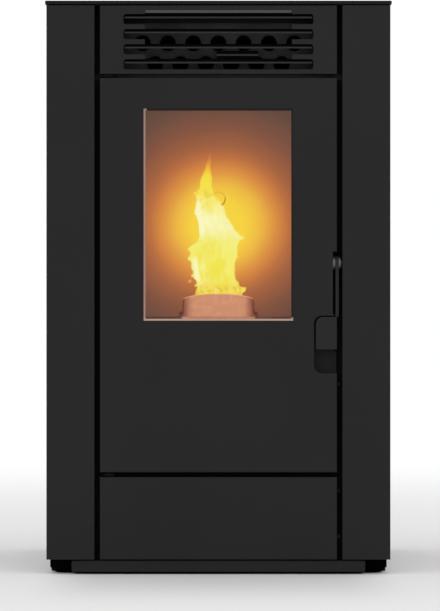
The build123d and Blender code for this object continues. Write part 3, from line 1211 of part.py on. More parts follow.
def blower_wheel():
    """A long drum of narrow blades between discs, on one shaft."""
    x1 = X_BLOWER - 8
    wheel = rod_x(-X_BLOWER - PAN_SHEET, X_BLOWER + 28, BLOWER_Y, BLOWER_Z, SHAFT_R)
    for x in (-x1, -PAN_SHEET / 2, x1 - PAN_SHEET):
        wheel += rod_x(x, x + PAN_SHEET, BLOWER_Y, BLOWER_Z, BLOWER_WHEEL_R)
    for index in range(BLOWER_BLADES):
        blade = Rot(0, 0, 0) * block(-x1, x1, -0.6, 0.6, BLOWER_WHEEL_R - 6.5, BLOWER_WHEEL_R - 0.5)
        turn = Rot(index * 360 / BLOWER_BLADES, 0, 0)
        wheel += Pos(0, BLOWER_Y, BLOWER_Z) * turn * blade
    return wheel


def blower_motor():
    x0 = X_BLOWER + PAN_SHEET
    x1 = x0 + BLOWER_MOTOR_LENGTH
    motor = rod_x(x0, x1, BLOWER_Y, BLOWER_Z, BLOWER_MOTOR_R)
    motor += block(x0 + 8, x1 - 8, BLOWER_Y - 22, BLOWER_Y + 22, Z_FLOOR, BLOWER_Z)
    return motor - rod_x(x0 - 1, x0 + 28, BLOWER_Y, BLOWER_Z, SHAFT_R + RUNNING_FIT)


# ---- ash drawer ----
def ash_drawer_front():
    return front_tray(-X_CENTRE, X_CENTRE, Z_PANELS, Z_DRAWER_TOP, SHEET)


def ash_drawer_box():
    x1 = X_DRAWER_BOX
    y0 = Y_FRONT + SHEET
    y1 = y0 + DRAWER_BOX_DEPTH
    z0 = Z_DRAWER_BOX
    z1 = z0 + DRAWER_BOX_HEIGHT
    t = SHEET
    return block(-x1, x1, y0, y1, z0, z1) - block(t - x1, x1 - t, y0 + t, y1 - t, z0 + t, z1 + 1)


def drawer_runners():
    t = RUNNER_SHEET
    x0 = X_DRAWER_BOX + FIT
    z0 = Z_FLOOR
    ledge = Z_DRAWER_BOX - FIT
    outline = [(x0, z0), (x0 + 20, z0), (x0 + 20, z0 + t), (x0 + t, z0 + t), (x0 + t, z0 + 60),
               (x0, z0 + 60), (x0, ledge), (x0 - 16, ledge), (x0 - 16, ledge - t), (x0, ledge - t)]
    runner = prism_y(outline, Y_PLATE_REAR, Y_PLATE_REAR + 190)
    return group(both_sides(runner))


# ---- electrics ----
def control_board():
    x0 = 95 - BOARD_WIDTH - 190
    z0 = Z_AUGER - 126
    y1 = Y_REAR_IN - 12
    board = block(x0, x0 + BOARD_WIDTH, y1 - 1.6, y1, z0, z0 + BOARD_HEIGHT)
    for x in (x0 + 8, x0 + BOARD_WIDTH - 8):
        for z in (z0 + 8, z0 + BOARD_HEIGHT - 8):
            board += rod_y(y1 - 1, Y_REAR_IN, x, z, 3)
    board += block(x0 + 20, x0 + 52, y1 - 22, y1 - 1, z0 + 20, z0 + 48)
    board += block(x0 + 66, x0 + 104, y1 - 12, y1 - 1, z0 + 24, z0 + 40)
    board += block(x0 + 30, x0 + 54, y1 - 4, y1 - 1, z0 + 76, z0 + 100)
    board += block(x0 + 70, x0 + 100, y1 - 14, y1 - 1, z0 + 120, z0 + 140)
    return board


def power_inlet():
    """A recessed socket with three flat pins and a flange outside the rear panel."""
    y0 = Y_REAR_IN + SHEET
    inlet = block(INLET_X - 14, INLET_X + 14, y0 - 26, y0 + 1, INLET_Z - 10, INLET_Z + 10)
    inlet += rounded_slab(INLET_X - 24, INLET_X + 24, y0, y0 + 2, INLET_Z - 13, INLET_Z + 13, 3)
    inlet -= rounded_slab(INLET_X - 12, INLET_X + 12, y0 - 15, y0 + 3, INLET_Z - 8, INLET_Z + 8, 3)
    for dx, dz in ((-7, -2), (7, -2), (0, 3)):
        inlet += block(INLET_X + dx - 1, INLET_X + dx + 1, y0 - 16, y0 - 3, INLET_Z + dz - 2, INLET_Z + dz + 2)
    return inlet


def main():
    os.makedirs("parts", exist_ok=True)
    right_side = side_panel()
    pieces = {
        "base_pan": base_pan(),
        "levelling_feet": levelling_feet(),
        "plinth": plinth(),
        "chassis_frame": chassis_frame(),
        "side_panel_left": mirror(right_side, Plane.YZ),
        "side_panel_right": right_side,
        "rear_panel": rear_panel(),
        "top_plate": top_plate(),
        "hopper_lid": hopper_lid(),
        "lid_hinge_brackets": lid_hinge_brackets(),
        "lid_seal": lid_seal(),
        "grille_panel": grille_panel(),
        "front_plate": front_plate(),
        "door_panel": door_panel(),
        "door_frame": door_frame(),
        "door_glass": door_glass(),
        "glass_gasket": glass_gasket(),
        "glass_clips": glass_clips(),
        "door_rope_seal": door_rope_seal(),
        "door_hinge_blocks": door_hinge_blocks(),
        "door_hinge_brackets": door_hinge_brackets(),
        "handle_lever": handle_lever(),
        "handle_fasteners": handle_fasteners(),
        "latch_keeper": latch_keeper(),
        "firebox_shell": firebox_shell(),
        "fireback": fireback(),
        "side_liners": side_liners(),
        "baffle_plate": baffle_plate(),
        "hearth_plate": hearth_plate(),
        "air_box": air_box(),
        "burn_pot": burn_pot(),
        "igniter": igniter(),
        "exchanger_box": exchanger_box(),
        "heat_tubes": heat_tubes(),
        "tube_scraper": tube_scraper(),
        "scraper_handle": scraper_handle(),
        "pellet_hopper": pellet_hopper(),
        "hopper_guard": hopper_guard(),
        "auger_tube": auger_tube(),
        "auger_screw": auger_screw(),
        "auger_motor": auger_motor(),
        "pellet_chute": pellet_chute(),
        "smoke_fan_housing": smoke_fan_housing(),
        "smoke_fan_wheel": smoke_fan_wheel(),
        "smoke_fan_motor": smoke_fan_motor(),
        "flue_outlet": flue_outlet(),
        "air_intake_pipe": air_intake_pipe(),
        "blower_housing": blower_housing(),
        "blower_wheel": blower_wheel(),
        "blower_motor": blower_motor(),
        "ash_drawer_front": ash_drawer_front(),
        "ash_drawer_box": ash_drawer_box(),
        "drawer_runners": drawer_runners(),
        "control_board": control_board(),
        "power_inlet": power_inlet(),
        "panel_screws": panel_screws(),
    }
    for index in range(SLOT_COUNT):
        pieces["louvre_blade_" + str(index + 1)] = louvre_blade(index)
    for name, shape in pieces.items():
        save(name, shape)


main()
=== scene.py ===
"""A pellet stove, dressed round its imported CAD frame.

Lengths are in metres, in the frame's own axes: x to the right, y to the rear, z up.
"""

import math
import random

import bmesh
import bpy
from bpy.props import FloatProperty, FloatVectorProperty, IntProperty, PointerProperty
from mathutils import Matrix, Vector, noise


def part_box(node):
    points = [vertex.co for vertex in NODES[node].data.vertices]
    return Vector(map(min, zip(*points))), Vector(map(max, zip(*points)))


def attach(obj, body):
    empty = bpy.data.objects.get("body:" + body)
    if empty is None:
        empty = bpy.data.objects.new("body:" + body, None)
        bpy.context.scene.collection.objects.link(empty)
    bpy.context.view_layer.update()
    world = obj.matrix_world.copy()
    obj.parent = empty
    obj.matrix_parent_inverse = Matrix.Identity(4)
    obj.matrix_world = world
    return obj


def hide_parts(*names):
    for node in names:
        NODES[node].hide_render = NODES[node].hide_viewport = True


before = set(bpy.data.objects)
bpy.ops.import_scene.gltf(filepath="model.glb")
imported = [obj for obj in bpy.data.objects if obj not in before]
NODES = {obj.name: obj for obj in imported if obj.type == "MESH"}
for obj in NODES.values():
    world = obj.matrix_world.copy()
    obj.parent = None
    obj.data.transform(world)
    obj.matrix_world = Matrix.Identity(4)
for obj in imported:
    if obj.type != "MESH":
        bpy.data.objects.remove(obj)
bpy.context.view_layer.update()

bl_info = {
    "name": "Pellet Stove",
    "version": (1, 0, 0),
    "blender": (4, 5, 0),
    "location": "View3D > Sidebar > Stove",
    "description": "Dresses the frame of a free-standing pellet stove and lights its fire",
    "category": "Object",
}

MM = 0.001
BODY = "body"
DOOR = "door"
LID = "hopper_lid"


def middle(node):
    """The centre of a node's box."""
    low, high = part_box(node)
    return (low + high) / 2


# ---- places taken from the frame ----
FRONT_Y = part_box("door_panel")[0].y
PLATE_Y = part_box("front_plate")[0].y
TUBE_SHEET_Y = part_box("exchanger_box")[0].y
REAR_FACE_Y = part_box("side_panel_left")[1].y
POT_CENTRE = middle("burn_pot")
POT_RIM_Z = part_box("burn_pot")[1].z
POT_R = 57.2 * MM
POT_RIM_FALL = 20 / 114.4
HEARTH_FRONT_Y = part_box("hearth_plate")[0].y
HEARTH_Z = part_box("hearth_plate")[1].z
GRILLE_FOOT_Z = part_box("grille_panel")[0].z
PULL_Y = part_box("scraper_handle")[0].y
TOP_FRONT_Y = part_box("top_plate")[0].y
DOOR_TOP_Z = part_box("door_panel")[1].z

# ---- places that the frame's boxes don't give ----
WINDOW_HALF = 117.5 * MM
WINDOW_Z = (398 * MM, 731 * MM)
WINDOW_BEVEL = 3 * MM
GRILLE_HALF = 115 * MM
# Low and high edge of the painted highlight over the grille's opening.
GRILLE_BAR_Z = (881.2 * MM, 885.6 * MM)
# Middle and reach of the fire's light painted on the fireback and the boards.
GLOW_X = 1 * MM
GLOW_Z = 556 * MM
GLOW_HALF_WIDTH = 85.5 * MM
GLOW_HALF_HEIGHT = 82.5 * MM
# The fixing boss on the fireback, which gets a painted shade ring.
BOSS_Z = 597 * MM
BOSS_R = 11 * MM
TUBE_R = 14.2 * MM
TUBE_ROWS = ((836.5 * MM, 7), (803.5 * MM, 6))
TUBE_PITCH = 40 * MM
SCREW_X = 190.25 * MM
SCREW_Z = (57 * MM, 129 * MM, 297 * MM)
REAR_SCREW_X = 259 * MM
REAR_SCREW_Z = (60.2 * MM, 323.5 * MM, 586.7 * MM, 850 * MM)
SCREW_R = 3 * MM
SCREW_HEIGHT = 2 * MM
# The cross in a screw's head, as parts of the head's radius and height.
CROSS_HALF_WIDTH, CROSS_REACH, CROSS_DEPTH = 0.17, 0.58, 0.45
# How far the fire's light painted on the hearth reaches, across and along.
HEARTH_GLOW = (140 * MM, 120 * MM)
BED_R = 46 * MM
BED_Z = 416 * MM
BED_DEPTH = 8 * MM
BED_DOME = 7 * MM
HEAP_HALF = 212 * MM
HEAP_Y = (58 * MM, 201 * MM)
HEAP_FLOOR_Z = 800 * MM
HEAP_TOP_Z = 846 * MM
HEAP_CROWN = 8 * MM
HEAP_BUMPS = 5 * MM
# Pellets to the square metre, before their spacing thins them out.
PELLET_DENSITY = 60000.0

# ---- the studio ----
CAMERA_X = 2.5 * MM
CAMERA_Z = 421.9 * MM
STOVE_MIDDLE = Vector((0.0, 0.0, 0.45))
WHITE = (1.0, 1.0, 1.0, 1.0)
FLOOR_REACH = 12.0
FLOOR_FADE = (1.0, 3.2)
# A painted shadow makes the floor dimmer just in front of the stove: half its width, and how far it reaches
# forward.
DIM_HALF_WIDTH = (0.3, 0.18)
DIM_REACH = (0.55, 0.12)
# The lamps: name, place, side in metres, and power in watts.
LAMPS = (
    ("key_lamp", (1.1, -3.0, 2.9), 2.2, 7), ("fill_lamp", (-2.2, -2.8, 1.8), 2.2, 2.5),
    ("top_lamp", (0.0, 0.0, 3.4), 2.8, 3), ("back_lamp", (-0.6, 3.0, 2.4), 2.4, 1.5),
)

# ---- the flame ----
# Its outline from the front: each side's height and distance from the middle, in millimetres.
FLAME_LEFT = (
    (424, -33), (438, -38.3), (443, -36.7), (447.5, -35), (452, -33.9), (454.1, -36.7), (458.5, -35.6),
    (463, -36.7), (466.2, -41.1), (470.6, -42.7), (474, -41.1), (478.3, -41.1), (481.6, -43.8),
    (487.1, -44.4), (493.7, -45.5), (495.9, -48.8), (499.2, -48.8), (503.6, -45.5), (508, -44.9),
    (512.3, -48.8), (516.2, -47.1), (520, -43.3), (522.2, -37.8), (526.6, -33.4), (535.4, -31.7),
    (546.4, -31.2), (557.4, -33.9), (566.5, -37), (574.2, -38.3), (580.8, -37.2), (587.4, -36.1),
    (594, -35), (598.4, -37.2), (604, -37.6), (609.4, -33.9), (613, -30.3), (620.4, -30.6), (628, -28.8),
    (633.5, -25.7), (644.5, -21.6), (657.7, -18), (666, -16.8), (674, -15.2),
)
FLAME_RIGHT = (
    (424, 35), (437.6, 37), (442, 39.2), (445.3, 42.9), (448.6, 44.3), (451.9, 40), (453, 35),
    (457.4, 33.7), (461.8, 29.3), (467.3, 27.1), (474, 26.5), (482.7, 26.5), (490.4, 27.1), (495.9, 29.3),
    (502.5, 30.4), (511.2, 30.2), (518.9, 31.5), (525.5, 33.1), (528.3, 35.8), (531, 43.5), (533.4, 39),
    (536.5, 34.8), (542, 29.3), (545.3, 24.8), (550.8, 22.7), (557.4, 19.9), (565.4, 13.9), (573.1, 10.6),
    (580.8, 9), (585.2, 6.2), (594, 0.7), (598.4, -2.6), (602.8, -7), (609.4, -9.2), (615, -10.8),
    (630, -10.3), (638, -11.9), (644.5, -13), (657.7, -12), (666, -9.6), (674, -8),
)
# Curls that stand off the flame's edges: across, up and radius, in millimetres.
FLAME_CURLS = (
    (-48.2, 513.6, 1.9), (-48.4, 498, 1.9), (-42.6, 470.4, 1.9), (-46.2, 461.5, 2.2), (-37, 454, 1.8),
    (30.6, 458.4, 2.4), (41.6, 448.8, 3), (30.6, 499.6, 1.6), (39, 532.4, 1.6), (-38, 604.5, 2),
)
# Yellower patches inside the flame: across, up and radius, in millimetres.
FLAME_GLADES = ((-8, 511, 17), (1, 480, 19), (-17, 582, 13), (-21, 618, 9))
# The flame's layers from the outside in: name, fullness, strength of the streaks, and cover.
FLAME_LAYERS = (
    ("flame_veil", 1.03, 0.3, 0.16), ("flame_mantle", 0.98, 0.6, 0.45),
    ("flame_body", 0.92, 0.9, 0.7), ("flame_heart", 0.78, 1.0, 0.85),
)
# The flame's colour by its height in metres, as red, green and blue display values.
FLAME_COLOURS = (
    (0.432, 252, 226, 92), (0.448, 248, 228, 92), (0.47, 249, 240, 112), (0.5, 248, 242, 116),
    (0.528, 248, 243, 134), (0.55, 249, 245, 166), (0.585, 252, 244, 142), (0.602, 252, 232, 92),
    (0.635, 251, 222, 60), (0.648, 246, 186, 56), (0.66, 224, 140, 62), (0.674, 198, 108, 72),
)
FLAME_LOW, FLAME_HIGH = 0.43, 0.676
# Bright streaks along the flame's left side, in metres: the height they lean from, their middle, where
# they end and start to fade, and their distance out. The last number is the lean.
FLAME_RIDGES = ((0.575, 0.563, 0.038, 0.02, 0.031, 0.12), (0.478, 0.48, 0.024, 0.01, 0.036, 0.15))
FLAME_WAIST_Z = 560 * MM
FLAME_DEPTH = 0.7
FLAME_FRINGE = 1.1 * MM


def tone(red, green, blue):
    """A linear RGBA colour from display values of 0 to 255."""

    def linear(value):
        value /= 255
        return value / 12.92 if value <= 0.04045 else ((value + 0.055) / 1.055) ** 2.4

    return (linear(red), linear(green), linear(blue), 1.0)


def grey(level):
    """A grey with this display value."""
    return tone(level, level, level)


def shade(colour, factor):
    """A colour made darker or lighter."""
    return tuple(min(1.0, part * factor) for part in colour[:3]) + (1.0,)


# ---- node trees as expressions ----
def calculation(operation, order=1):
    """A method that puts one Math node on a wire and other values. An order of -1 turns them round."""

    def method(self, *others):
        values = dict(enumerate((self, *others)[::order]))
        return self.web.add("ShaderNodeMath", {"operation": operation}, values)

    return method


class Wire:
    """A node's output, which adds Math nodes when it is used in an expression."""

    def __init__(self, web, socket):
        self.web = web
        self.socket = socket

    def out(self, name):
        """Another output of the same node."""
        return Wire(self.web, self.socket.node.outputs[name])

    __abs__ = calculation("ABSOLUTE")
    least = calculation("MINIMUM")
    most = calculation("MAXIMUM")
    cos = calculation("COSINE")
    sin = calculation("SINE")


for symbol, operation in (("add", "ADD"), ("sub", "SUBTRACT"), ("mul", "MULTIPLY"), ("truediv", "DIVIDE"),
                          ("pow", "POWER"), ("mod", "FLOORED_MODULO")):
    setattr(Wire, f"__{symbol}__", calculation(operation))
    setattr(Wire, f"__r{symbol}__", calculation(operation, -1))


class Web:
    """A node tree and the one method that adds nodes to it."""

    def __init__(self, tree):
        self.tree = tree

    def add(self, kind, settings=None, sockets=None, out=0):
        """Adds a node: its settings first, then its sockets. Gives one output as a Wire."""
        node = self.tree.nodes.new(kind)
        for key, value in (settings or {}).items():
            if key == "stops":
                self.set_stops(node.color_ramp, value)
            else:
                setattr(node, key, value)
        self.plug(node, sockets or {})
        return Wire(self, node.outputs[out]) if node.outputs else node

    def plug(self, node, sockets):
        """Sets or links a node's sockets."""
        for key, value in sockets.items():
            if isinstance(value, Wire):
                self.tree.links.new(value.socket, node.inputs[key])
            else:
                node.inputs[key].default_value = value

    @staticmethod
    def set_stops(ramp, stops):
        """Gives a ramp these positions and colours."""
        while len(ramp.elements) > len(stops):
            ramp.elements.remove(ramp.elements[-1])
        while len(ramp.elements) < len(stops):
            ramp.elements.new(1.0)
        for element, (position, colour) in zip(ramp.elements, stops):
            element.position = position
            element.color = colour

    def place(self):
        """Object coordinates."""
        return self.add("ShaderNodeTexCoord", {}, {}, "Object")

    def parts(self, vector):
        """The x, y and z of a vector."""
        split = self.add("ShaderNodeSeparateXYZ", {}, {0: vector})
        return split, split.out("Y"), split.out("Z")

    def stretch(self, at, scale):
        """Coordinates scaled by a different amount along each axis."""
        return self.add("ShaderNodeMapping", {}, {"Vector": at, "Scale": scale})

    def grain(self, at, scale, detail=2.0, roughness=0.5):
        """Noise between 0 and 1, with scale features to the metre."""
        sockets = {"Vector": at, "Scale": scale, "Detail": detail, "Roughness": roughness}
        return self.add("ShaderNodeTexNoise", {}, sockets)

    def cells(self, at, scale):
        """A value for each crystal or cell."""
        cell = self.add("ShaderNodeTexVoronoi", {}, {"Vector": at, "Scale": scale}, "Color")
        return self.add("ShaderNodeSeparateColor", {}, {0: cell})

    def step(self, value, low, high):
        """A smooth step from 0 at low to 1 at high."""
        return self.add("ShaderNodeMapRange", {"interpolation_type": "SMOOTHSTEP"},
                        {"Value": value, "From Min": low, "From Max": high})

    def band(self, value, outer, inner):
        """1 where a value is nearer to 0 than inner, and 0 where it is farther than outer."""
        return self.step(abs(value), outer, inner)

    def spots(self, at, scale, detail, low, high):
        """Noise drawn apart: 0 below low and 1 above high."""
        return self.step(self.grain(at, scale, detail), low, high)

    def mix(self, factor, first, second):
        """A colour between two colours."""
        return self.add("ShaderNodeMix", {"data_type": "RGBA"}, {0: factor, 6: first, 7: second}, 2)

    def ramp(self, value, stops):
        """A colour from a ramp."""
        return self.add("ShaderNodeValToRGB", {"stops": stops}, {0: value})

    def relief(self, height, depth, edge=0.0):
        """A normal with small relief, on edges rounded by the given radius."""
        sockets = {"Height": height, "Distance": depth, "Strength": 1.0}
        if edge:
            sockets["Normal"] = self.add("ShaderNodeBevel", {"samples": 4}, {"Radius": edge})
        return self.add("ShaderNodeBump", {}, sockets)


def cleared(data):
    """An empty web on the tree of a material or a world."""
    data.use_nodes = True
    data.node_tree.nodes.clear()
    return Web(data.node_tree)


def finish(recipe):
    """Turns a recipe, which gives a Principled shader's sockets, into a maker of materials."""

    def make(name, *choices, **more):
        material = bpy.data.materials.new(name)
        web = cleared(material)
        shader = web.add("ShaderNodeBsdfPrincipled")
        web.add("ShaderNodeOutputMaterial", {}, {"Surface": shader})
        web.plug(shader.socket.node, recipe(web, web.place(), *choices, **more))
        return material

    return make


# ---- finishes ----
def lit_faces(web, at, painted, catch):
    """Paint with the faces that catch or miss the room's light, which catch gives as masks and colours."""
    for mask, tint in (catch(web, *web.parts(at)) if catch else ()):
        painted = web.mix(mask, painted, tint)
    return painted


@finish
def powder_coat(web, at, colour, roughness, gloss, orange_peel=900.0, catch=None, sunk=None):
    """Stoved powder paint: a fine orange peel, faint clouding and soft edges.

    sunk gives a mask that is painted black, with no shine, as painted shadow. catch gives painted highlights
    and painted shade.
    """
    cloud = web.grain(at, 6.0, 3.0)
    peel = web.grain(at, orange_peel, 2.0)
    fleck = web.spots(at, 2600.0, 0.0, 0.66, 0.8)
    painted = web.mix(cloud, shade(colour, 0.86), shade(colour, 1.14))
    painted = lit_faces(web, at, web.mix(fleck * 0.5, painted, shade(colour, 1.6)), catch)
    # Painted shadow: where sunk's mask holds, the paint turns black and fully metallic, so it takes no light.
    dark = sunk(web, *web.parts(at)) if sunk else 0.0
    if sunk:
        painted = web.mix(dark, painted, grey(3))
    return {
        "Base Color": painted,
        "Metallic": dark,
        "Roughness": (cloud - 0.5) * 0.1 + (peel - 0.5) * 0.12 + roughness,
        "Specular IOR Level": gloss,
        "Normal": web.relief(peel, 0.00005, 0.0007),
    }


def behind_front(web, deep):
    """1 on what lies behind the door's front face."""
    return web.step(deep, FRONT_Y + 0.05 * MM, FRONT_Y + 0.3 * MM)


def window_bevels(web, across, deep, up):
    """The bevel round the door's window gets painted highlights on its left and along its foot."""
    slack = 0.2 * MM
    low, high = WINDOW_Z
    outer, inner = 2 * WINDOW_BEVEL, 1.3 * WINDOW_BEVEL
    inside = (web.band(across, WINDOW_HALF + slack, WINDOW_HALF) * web.step(up, low - slack, low)
              * web.step(up, high + slack, high) * behind_front(web, deep))
    left = web.step(across, outer - WINDOW_HALF, inner - WINDOW_HALF)
    foot = web.step(up, low + outer, low + inner)
    return (left * inside, tone(176, 148, 134)), (foot * inside, tone(194, 163, 147))


def grille_edges(web, across, deep, up):
    """Painted highlights on the bevel over the grille's opening and on the edges along its gap to the door.
    """
    behind = behind_front(web, deep)
    bar = (web.band(across, GRILLE_HALF + 0.3 * MM, GRILLE_HALF) * behind
           * web.step(up, GRILLE_BAR_Z[0] - 0.4 * MM, GRILLE_BAR_Z[0] + 0.2 * MM)
           * web.step(up, GRILLE_BAR_Z[1] + 0.4 * MM, GRILLE_BAR_Z[1] - 0.2 * MM))
    foot = web.step(up, GRILLE_FOOT_Z + 1.2 * MM, GRILLE_FOOT_Z + 0.6 * MM) * behind
    return (bar, grey(98)), (foot, grey(70))


def plate_edge(web, across, deep, up):
    """The top plate's front edge is painted darker, as painted shade where it turns away from the light."""
    return ((web.step(deep, TOP_FRONT_Y + 2 * MM, TOP_FRONT_Y + 1 * MM), grey(23)),)


def plinth_hem(web, across, deep, up):
    """The plinth's lowest edge is painted black, a painted shadow for the shade it lies in."""
    return web.step(up, 4.2 * MM, 3.4 * MM)


def blade_faces(web, across, deep, up):
    """A blade's slope is painted near black, as painted shade in the slot, and its front lip gets a painted
    highlight.
    """
    return ((web.step(deep, FRONT_Y + 0.5 * MM, FRONT_Y + 1.0 * MM), grey(4)),
            (web.step(deep, FRONT_Y + 0.5 * MM, FRONT_Y + 0.1 * MM), grey(46)))


def pull_faces(web, across, deep, up):
    """The edge of the scraper's pull plate gets a painted highlight, a thin light line."""
    return ((web.step(deep, PULL_Y + 0.6 * MM, PULL_Y + 0.2 * MM), tone(64, 64, 63)),)


def behind_gap(web, across, deep, up):
    """The front plate gets painted light where light comes through the gap over the door."""
    over = web.step(up, DOOR_TOP_Z - 2 * MM, DOOR_TOP_Z)
    return ((over * web.step(up, GRILLE_FOOT_Z + 2 * MM, GRILLE_FOOT_Z), grey(52)),)


@finish
def stove_black(web, at, colour=tone(40, 39, 38), roughness=0.62, catch=None, shine=0.25):
    """High-temperature black on inner steel, with a bloom of grey where it has been hot."""
    cloud = web.grain(at, 14.0, 4.0, 0.6)
    sand = web.grain(at, 1500.0, 2.0)
    painted = web.mix(web.step(cloud, 0.35, 0.75), shade(colour, 0.7), shade(colour, 1.5))
    return {
        "Base Color": lit_faces(web, at, painted, catch),
        "Roughness": (sand - 0.5) * 0.2 + roughness,
        "Specular IOR Level": shine,
        "Normal": web.relief(sand, 0.00008, 0.0005),
    }


@finish
def galvanised_sheet(web, at):
    """Hot-dip galvanised sheet with its frost of zinc crystals."""
    crystal = web.cells(at, 130.0)
    cloud = web.grain(at, 9.0, 3.0)
    rolled = web.grain(web.stretch(at, (1.0, 1.0, 40.0)), 18.0, 2.0)
    return {
        "Base Color": web.mix(crystal, tone(154, 157, 160), tone(184, 187, 189)),
        "Metallic": 0.85,
        "Roughness": crystal * 0.16 + cloud * 0.18 + rolled * 0.06 + 0.26,
        "Normal": web.relief(crystal, 0.00002, 0.0005),
    }


@finish
def zinc_plate(web, at, brightness=1.0, dullness=0.0):
    """Zinc plating over turned or pressed steel."""
    turned = web.grain(web.stretch(at, (1.0, 1.0, 9.0)), 700.0, 2.0)
    cloud = web.grain(at, 60.0, 3.0)
    dim, bright = shade(tone(150, 150, 146), brightness), shade(tone(198, 198, 194), brightness)
    return {
        "Base Color": web.mix(cloud, dim, bright),
        "Metallic": 1.0,
        "Roughness": turned * 0.2 + cloud * 0.15 + 0.2 + dullness,
        "Normal": web.relief(turned, 0.00002, 0.0004),
    }


@finish
def motor_shell(web, at):
    """Drawn steel and die-cast aluminium of the motors, a little dusty."""
    cast = web.grain(at, 500.0, 3.0)
    dust = web.spots(at, 22.0, 4.0, 0.45, 0.75)
    return {
        "Base Color": web.mix(dust, tone(132, 134, 136), tone(168, 166, 160)),
        "Metallic": 0.9 - dust * 0.5,
        "Roughness": cast * 0.2 + dust * 0.2 + 0.28,
        "Normal": web.relief(cast, 0.00004, 0.0006),
    }


@finish
def refractory_board(web, at):
    """Pressed vermiculite board, buff with flakes and a film of soot, with the fire's light painted on it as
    emission.
    """
    flake = web.cells(at, 420.0)
    soot = web.spots(at, 11.0, 4.0, 0.35, 0.8)
    buff = web.mix(flake, tone(120, 96, 70), tone(168, 138, 100))
    return {
        "Base Color": web.mix(soot * 0.7, buff, tone(62, 48, 40)),
        "Roughness": 0.9,
        "Emission Color": fire_glow(web, at),
        "Emission Strength": 0.5,
        "Normal": web.relief(flake, 0.0003, 0.0008),
    }


def fire_glow(web, at):
    """The light that the fire throws on what stands behind it, painted as an emission colour that fades from
    the glow's middle.
    """
    across, _, up = web.parts(at)
    run = (across - GLOW_X) / GLOW_HALF_WIDTH
    rise = (up - GLOW_Z) / GLOW_HALF_HEIGHT
    waver = web.grain(at, 16.0, 2.0)
    reach = (run * run + rise * rise) ** 0.5 + (waver - 0.5) * 0.06
    return web.ramp(reach / 2.5, (
        (0.0, tone(251, 218, 60)), (0.2, tone(249, 213, 62)), (0.3, tone(242, 191, 64)),
        (0.39, tone(228, 159, 64)), (0.44, tone(219, 141, 62)), (0.53, tone(190, 111, 62)),
        (0.62, tone(161, 95, 61)), (0.76, tone(131, 81, 62)), (0.93, tone(105, 74, 62)),
        (1.0, tone(97, 70, 60)),
    ))


@finish
def fireback_iron(web, at):
    """The cast fireback, mottled with soot, with the fire's light painted on it as emission and a painted
    shade ring round its fixing boss.
    """
    across, _, up = web.parts(at)
    sand = web.grain(at, 700.0, 3.0)
    soot = web.grain(web.stretch(at, (1.0, 1.0, 0.35)), 26.0, 4.0)
    # A painted shade ring round the fixing boss, heavier towards its lower right.
    ring = ((across * across + (up - BOSS_Z) * (up - BOSS_Z)) ** 0.5 - BOSS_R) / MM
    worn = web.step((across - up + BOSS_Z) / BOSS_R, 0.5, 1.1) * 0.7 + 0.3
    edge = web.band(ring, 1.5, 0.4) * worn * web.spots(at, 160.0, 2.0, 0.3, 0.5)
    lit = web.mix(edge * 0.85, fire_glow(web, at), tone(110, 76, 26))
    return {
        "Base Color": web.mix(soot, tone(26, 21, 18), tone(44, 36, 31)),
        "Roughness": 0.85 - soot * 0.1,
        "Specular IOR Level": 0.15,
        "Emission Color": web.mix((soot - 0.45) * 0.14, lit, tone(60, 34, 22)),
        "Emission Strength": 1.05,
        "Normal": web.relief(sand, 0.0001, 0.0006),
    }


@finish
def pot_iron(web, at):
    """The cast burn pot with grey ash spots and the fire's light painted on it as emission: rosy in front,
    dimmer behind, with a painted highlight on its rim.
    """
    across, deep, up = web.parts(at)
    sand = web.grain(at, 650.0, 3.0)
    ash = web.spots(at, 90.0, 4.0, 0.45, 0.7)
    # Painted light from the fire: brightest on the pot's front and darker towards its sides and behind, a
    # painted highlight along its sloping rim, and painted shade low on its flange.
    front = web.step(across, 57 * MM, 39 * MM) * web.step(across, -60 * MM, -38 * MM)
    facing = web.step(deep, POT_CENTRE.y - 4 * MM, POT_CENTRE.y - 26 * MM)
    lip_z = POT_RIM_Z - (deep - POT_CENTRE.y + POT_R) * POT_RIM_FALL
    rim = web.step(up - lip_z, -1.8 * MM, -0.9 * MM)
    warm = web.mix(front, tone(140, 78, 68), tone(215, 149, 113))
    brim = web.step(abs(across), POT_R + 1 * MM, POT_R + 2 * MM)
    warm = web.mix(brim * web.step(up, HEARTH_Z + 9 * MM, HEARTH_Z + 7 * MM), warm, tone(104, 66, 54))
    warm = web.mix(rim * 0.75, warm, tone(246, 190, 118))
    return {
        "Base Color": web.mix(ash, tone(52, 42, 38), tone(92, 84, 78)),
        "Roughness": 0.8 - ash * 0.1,
        "Specular IOR Level": 0.2,
        "Emission Color": web.mix(facing.most(rim * 0.8), tone(96, 44, 26), warm),
        "Emission Strength": 1.0,
        "Normal": web.relief(sand, 0.00012, 0.0006),
    }


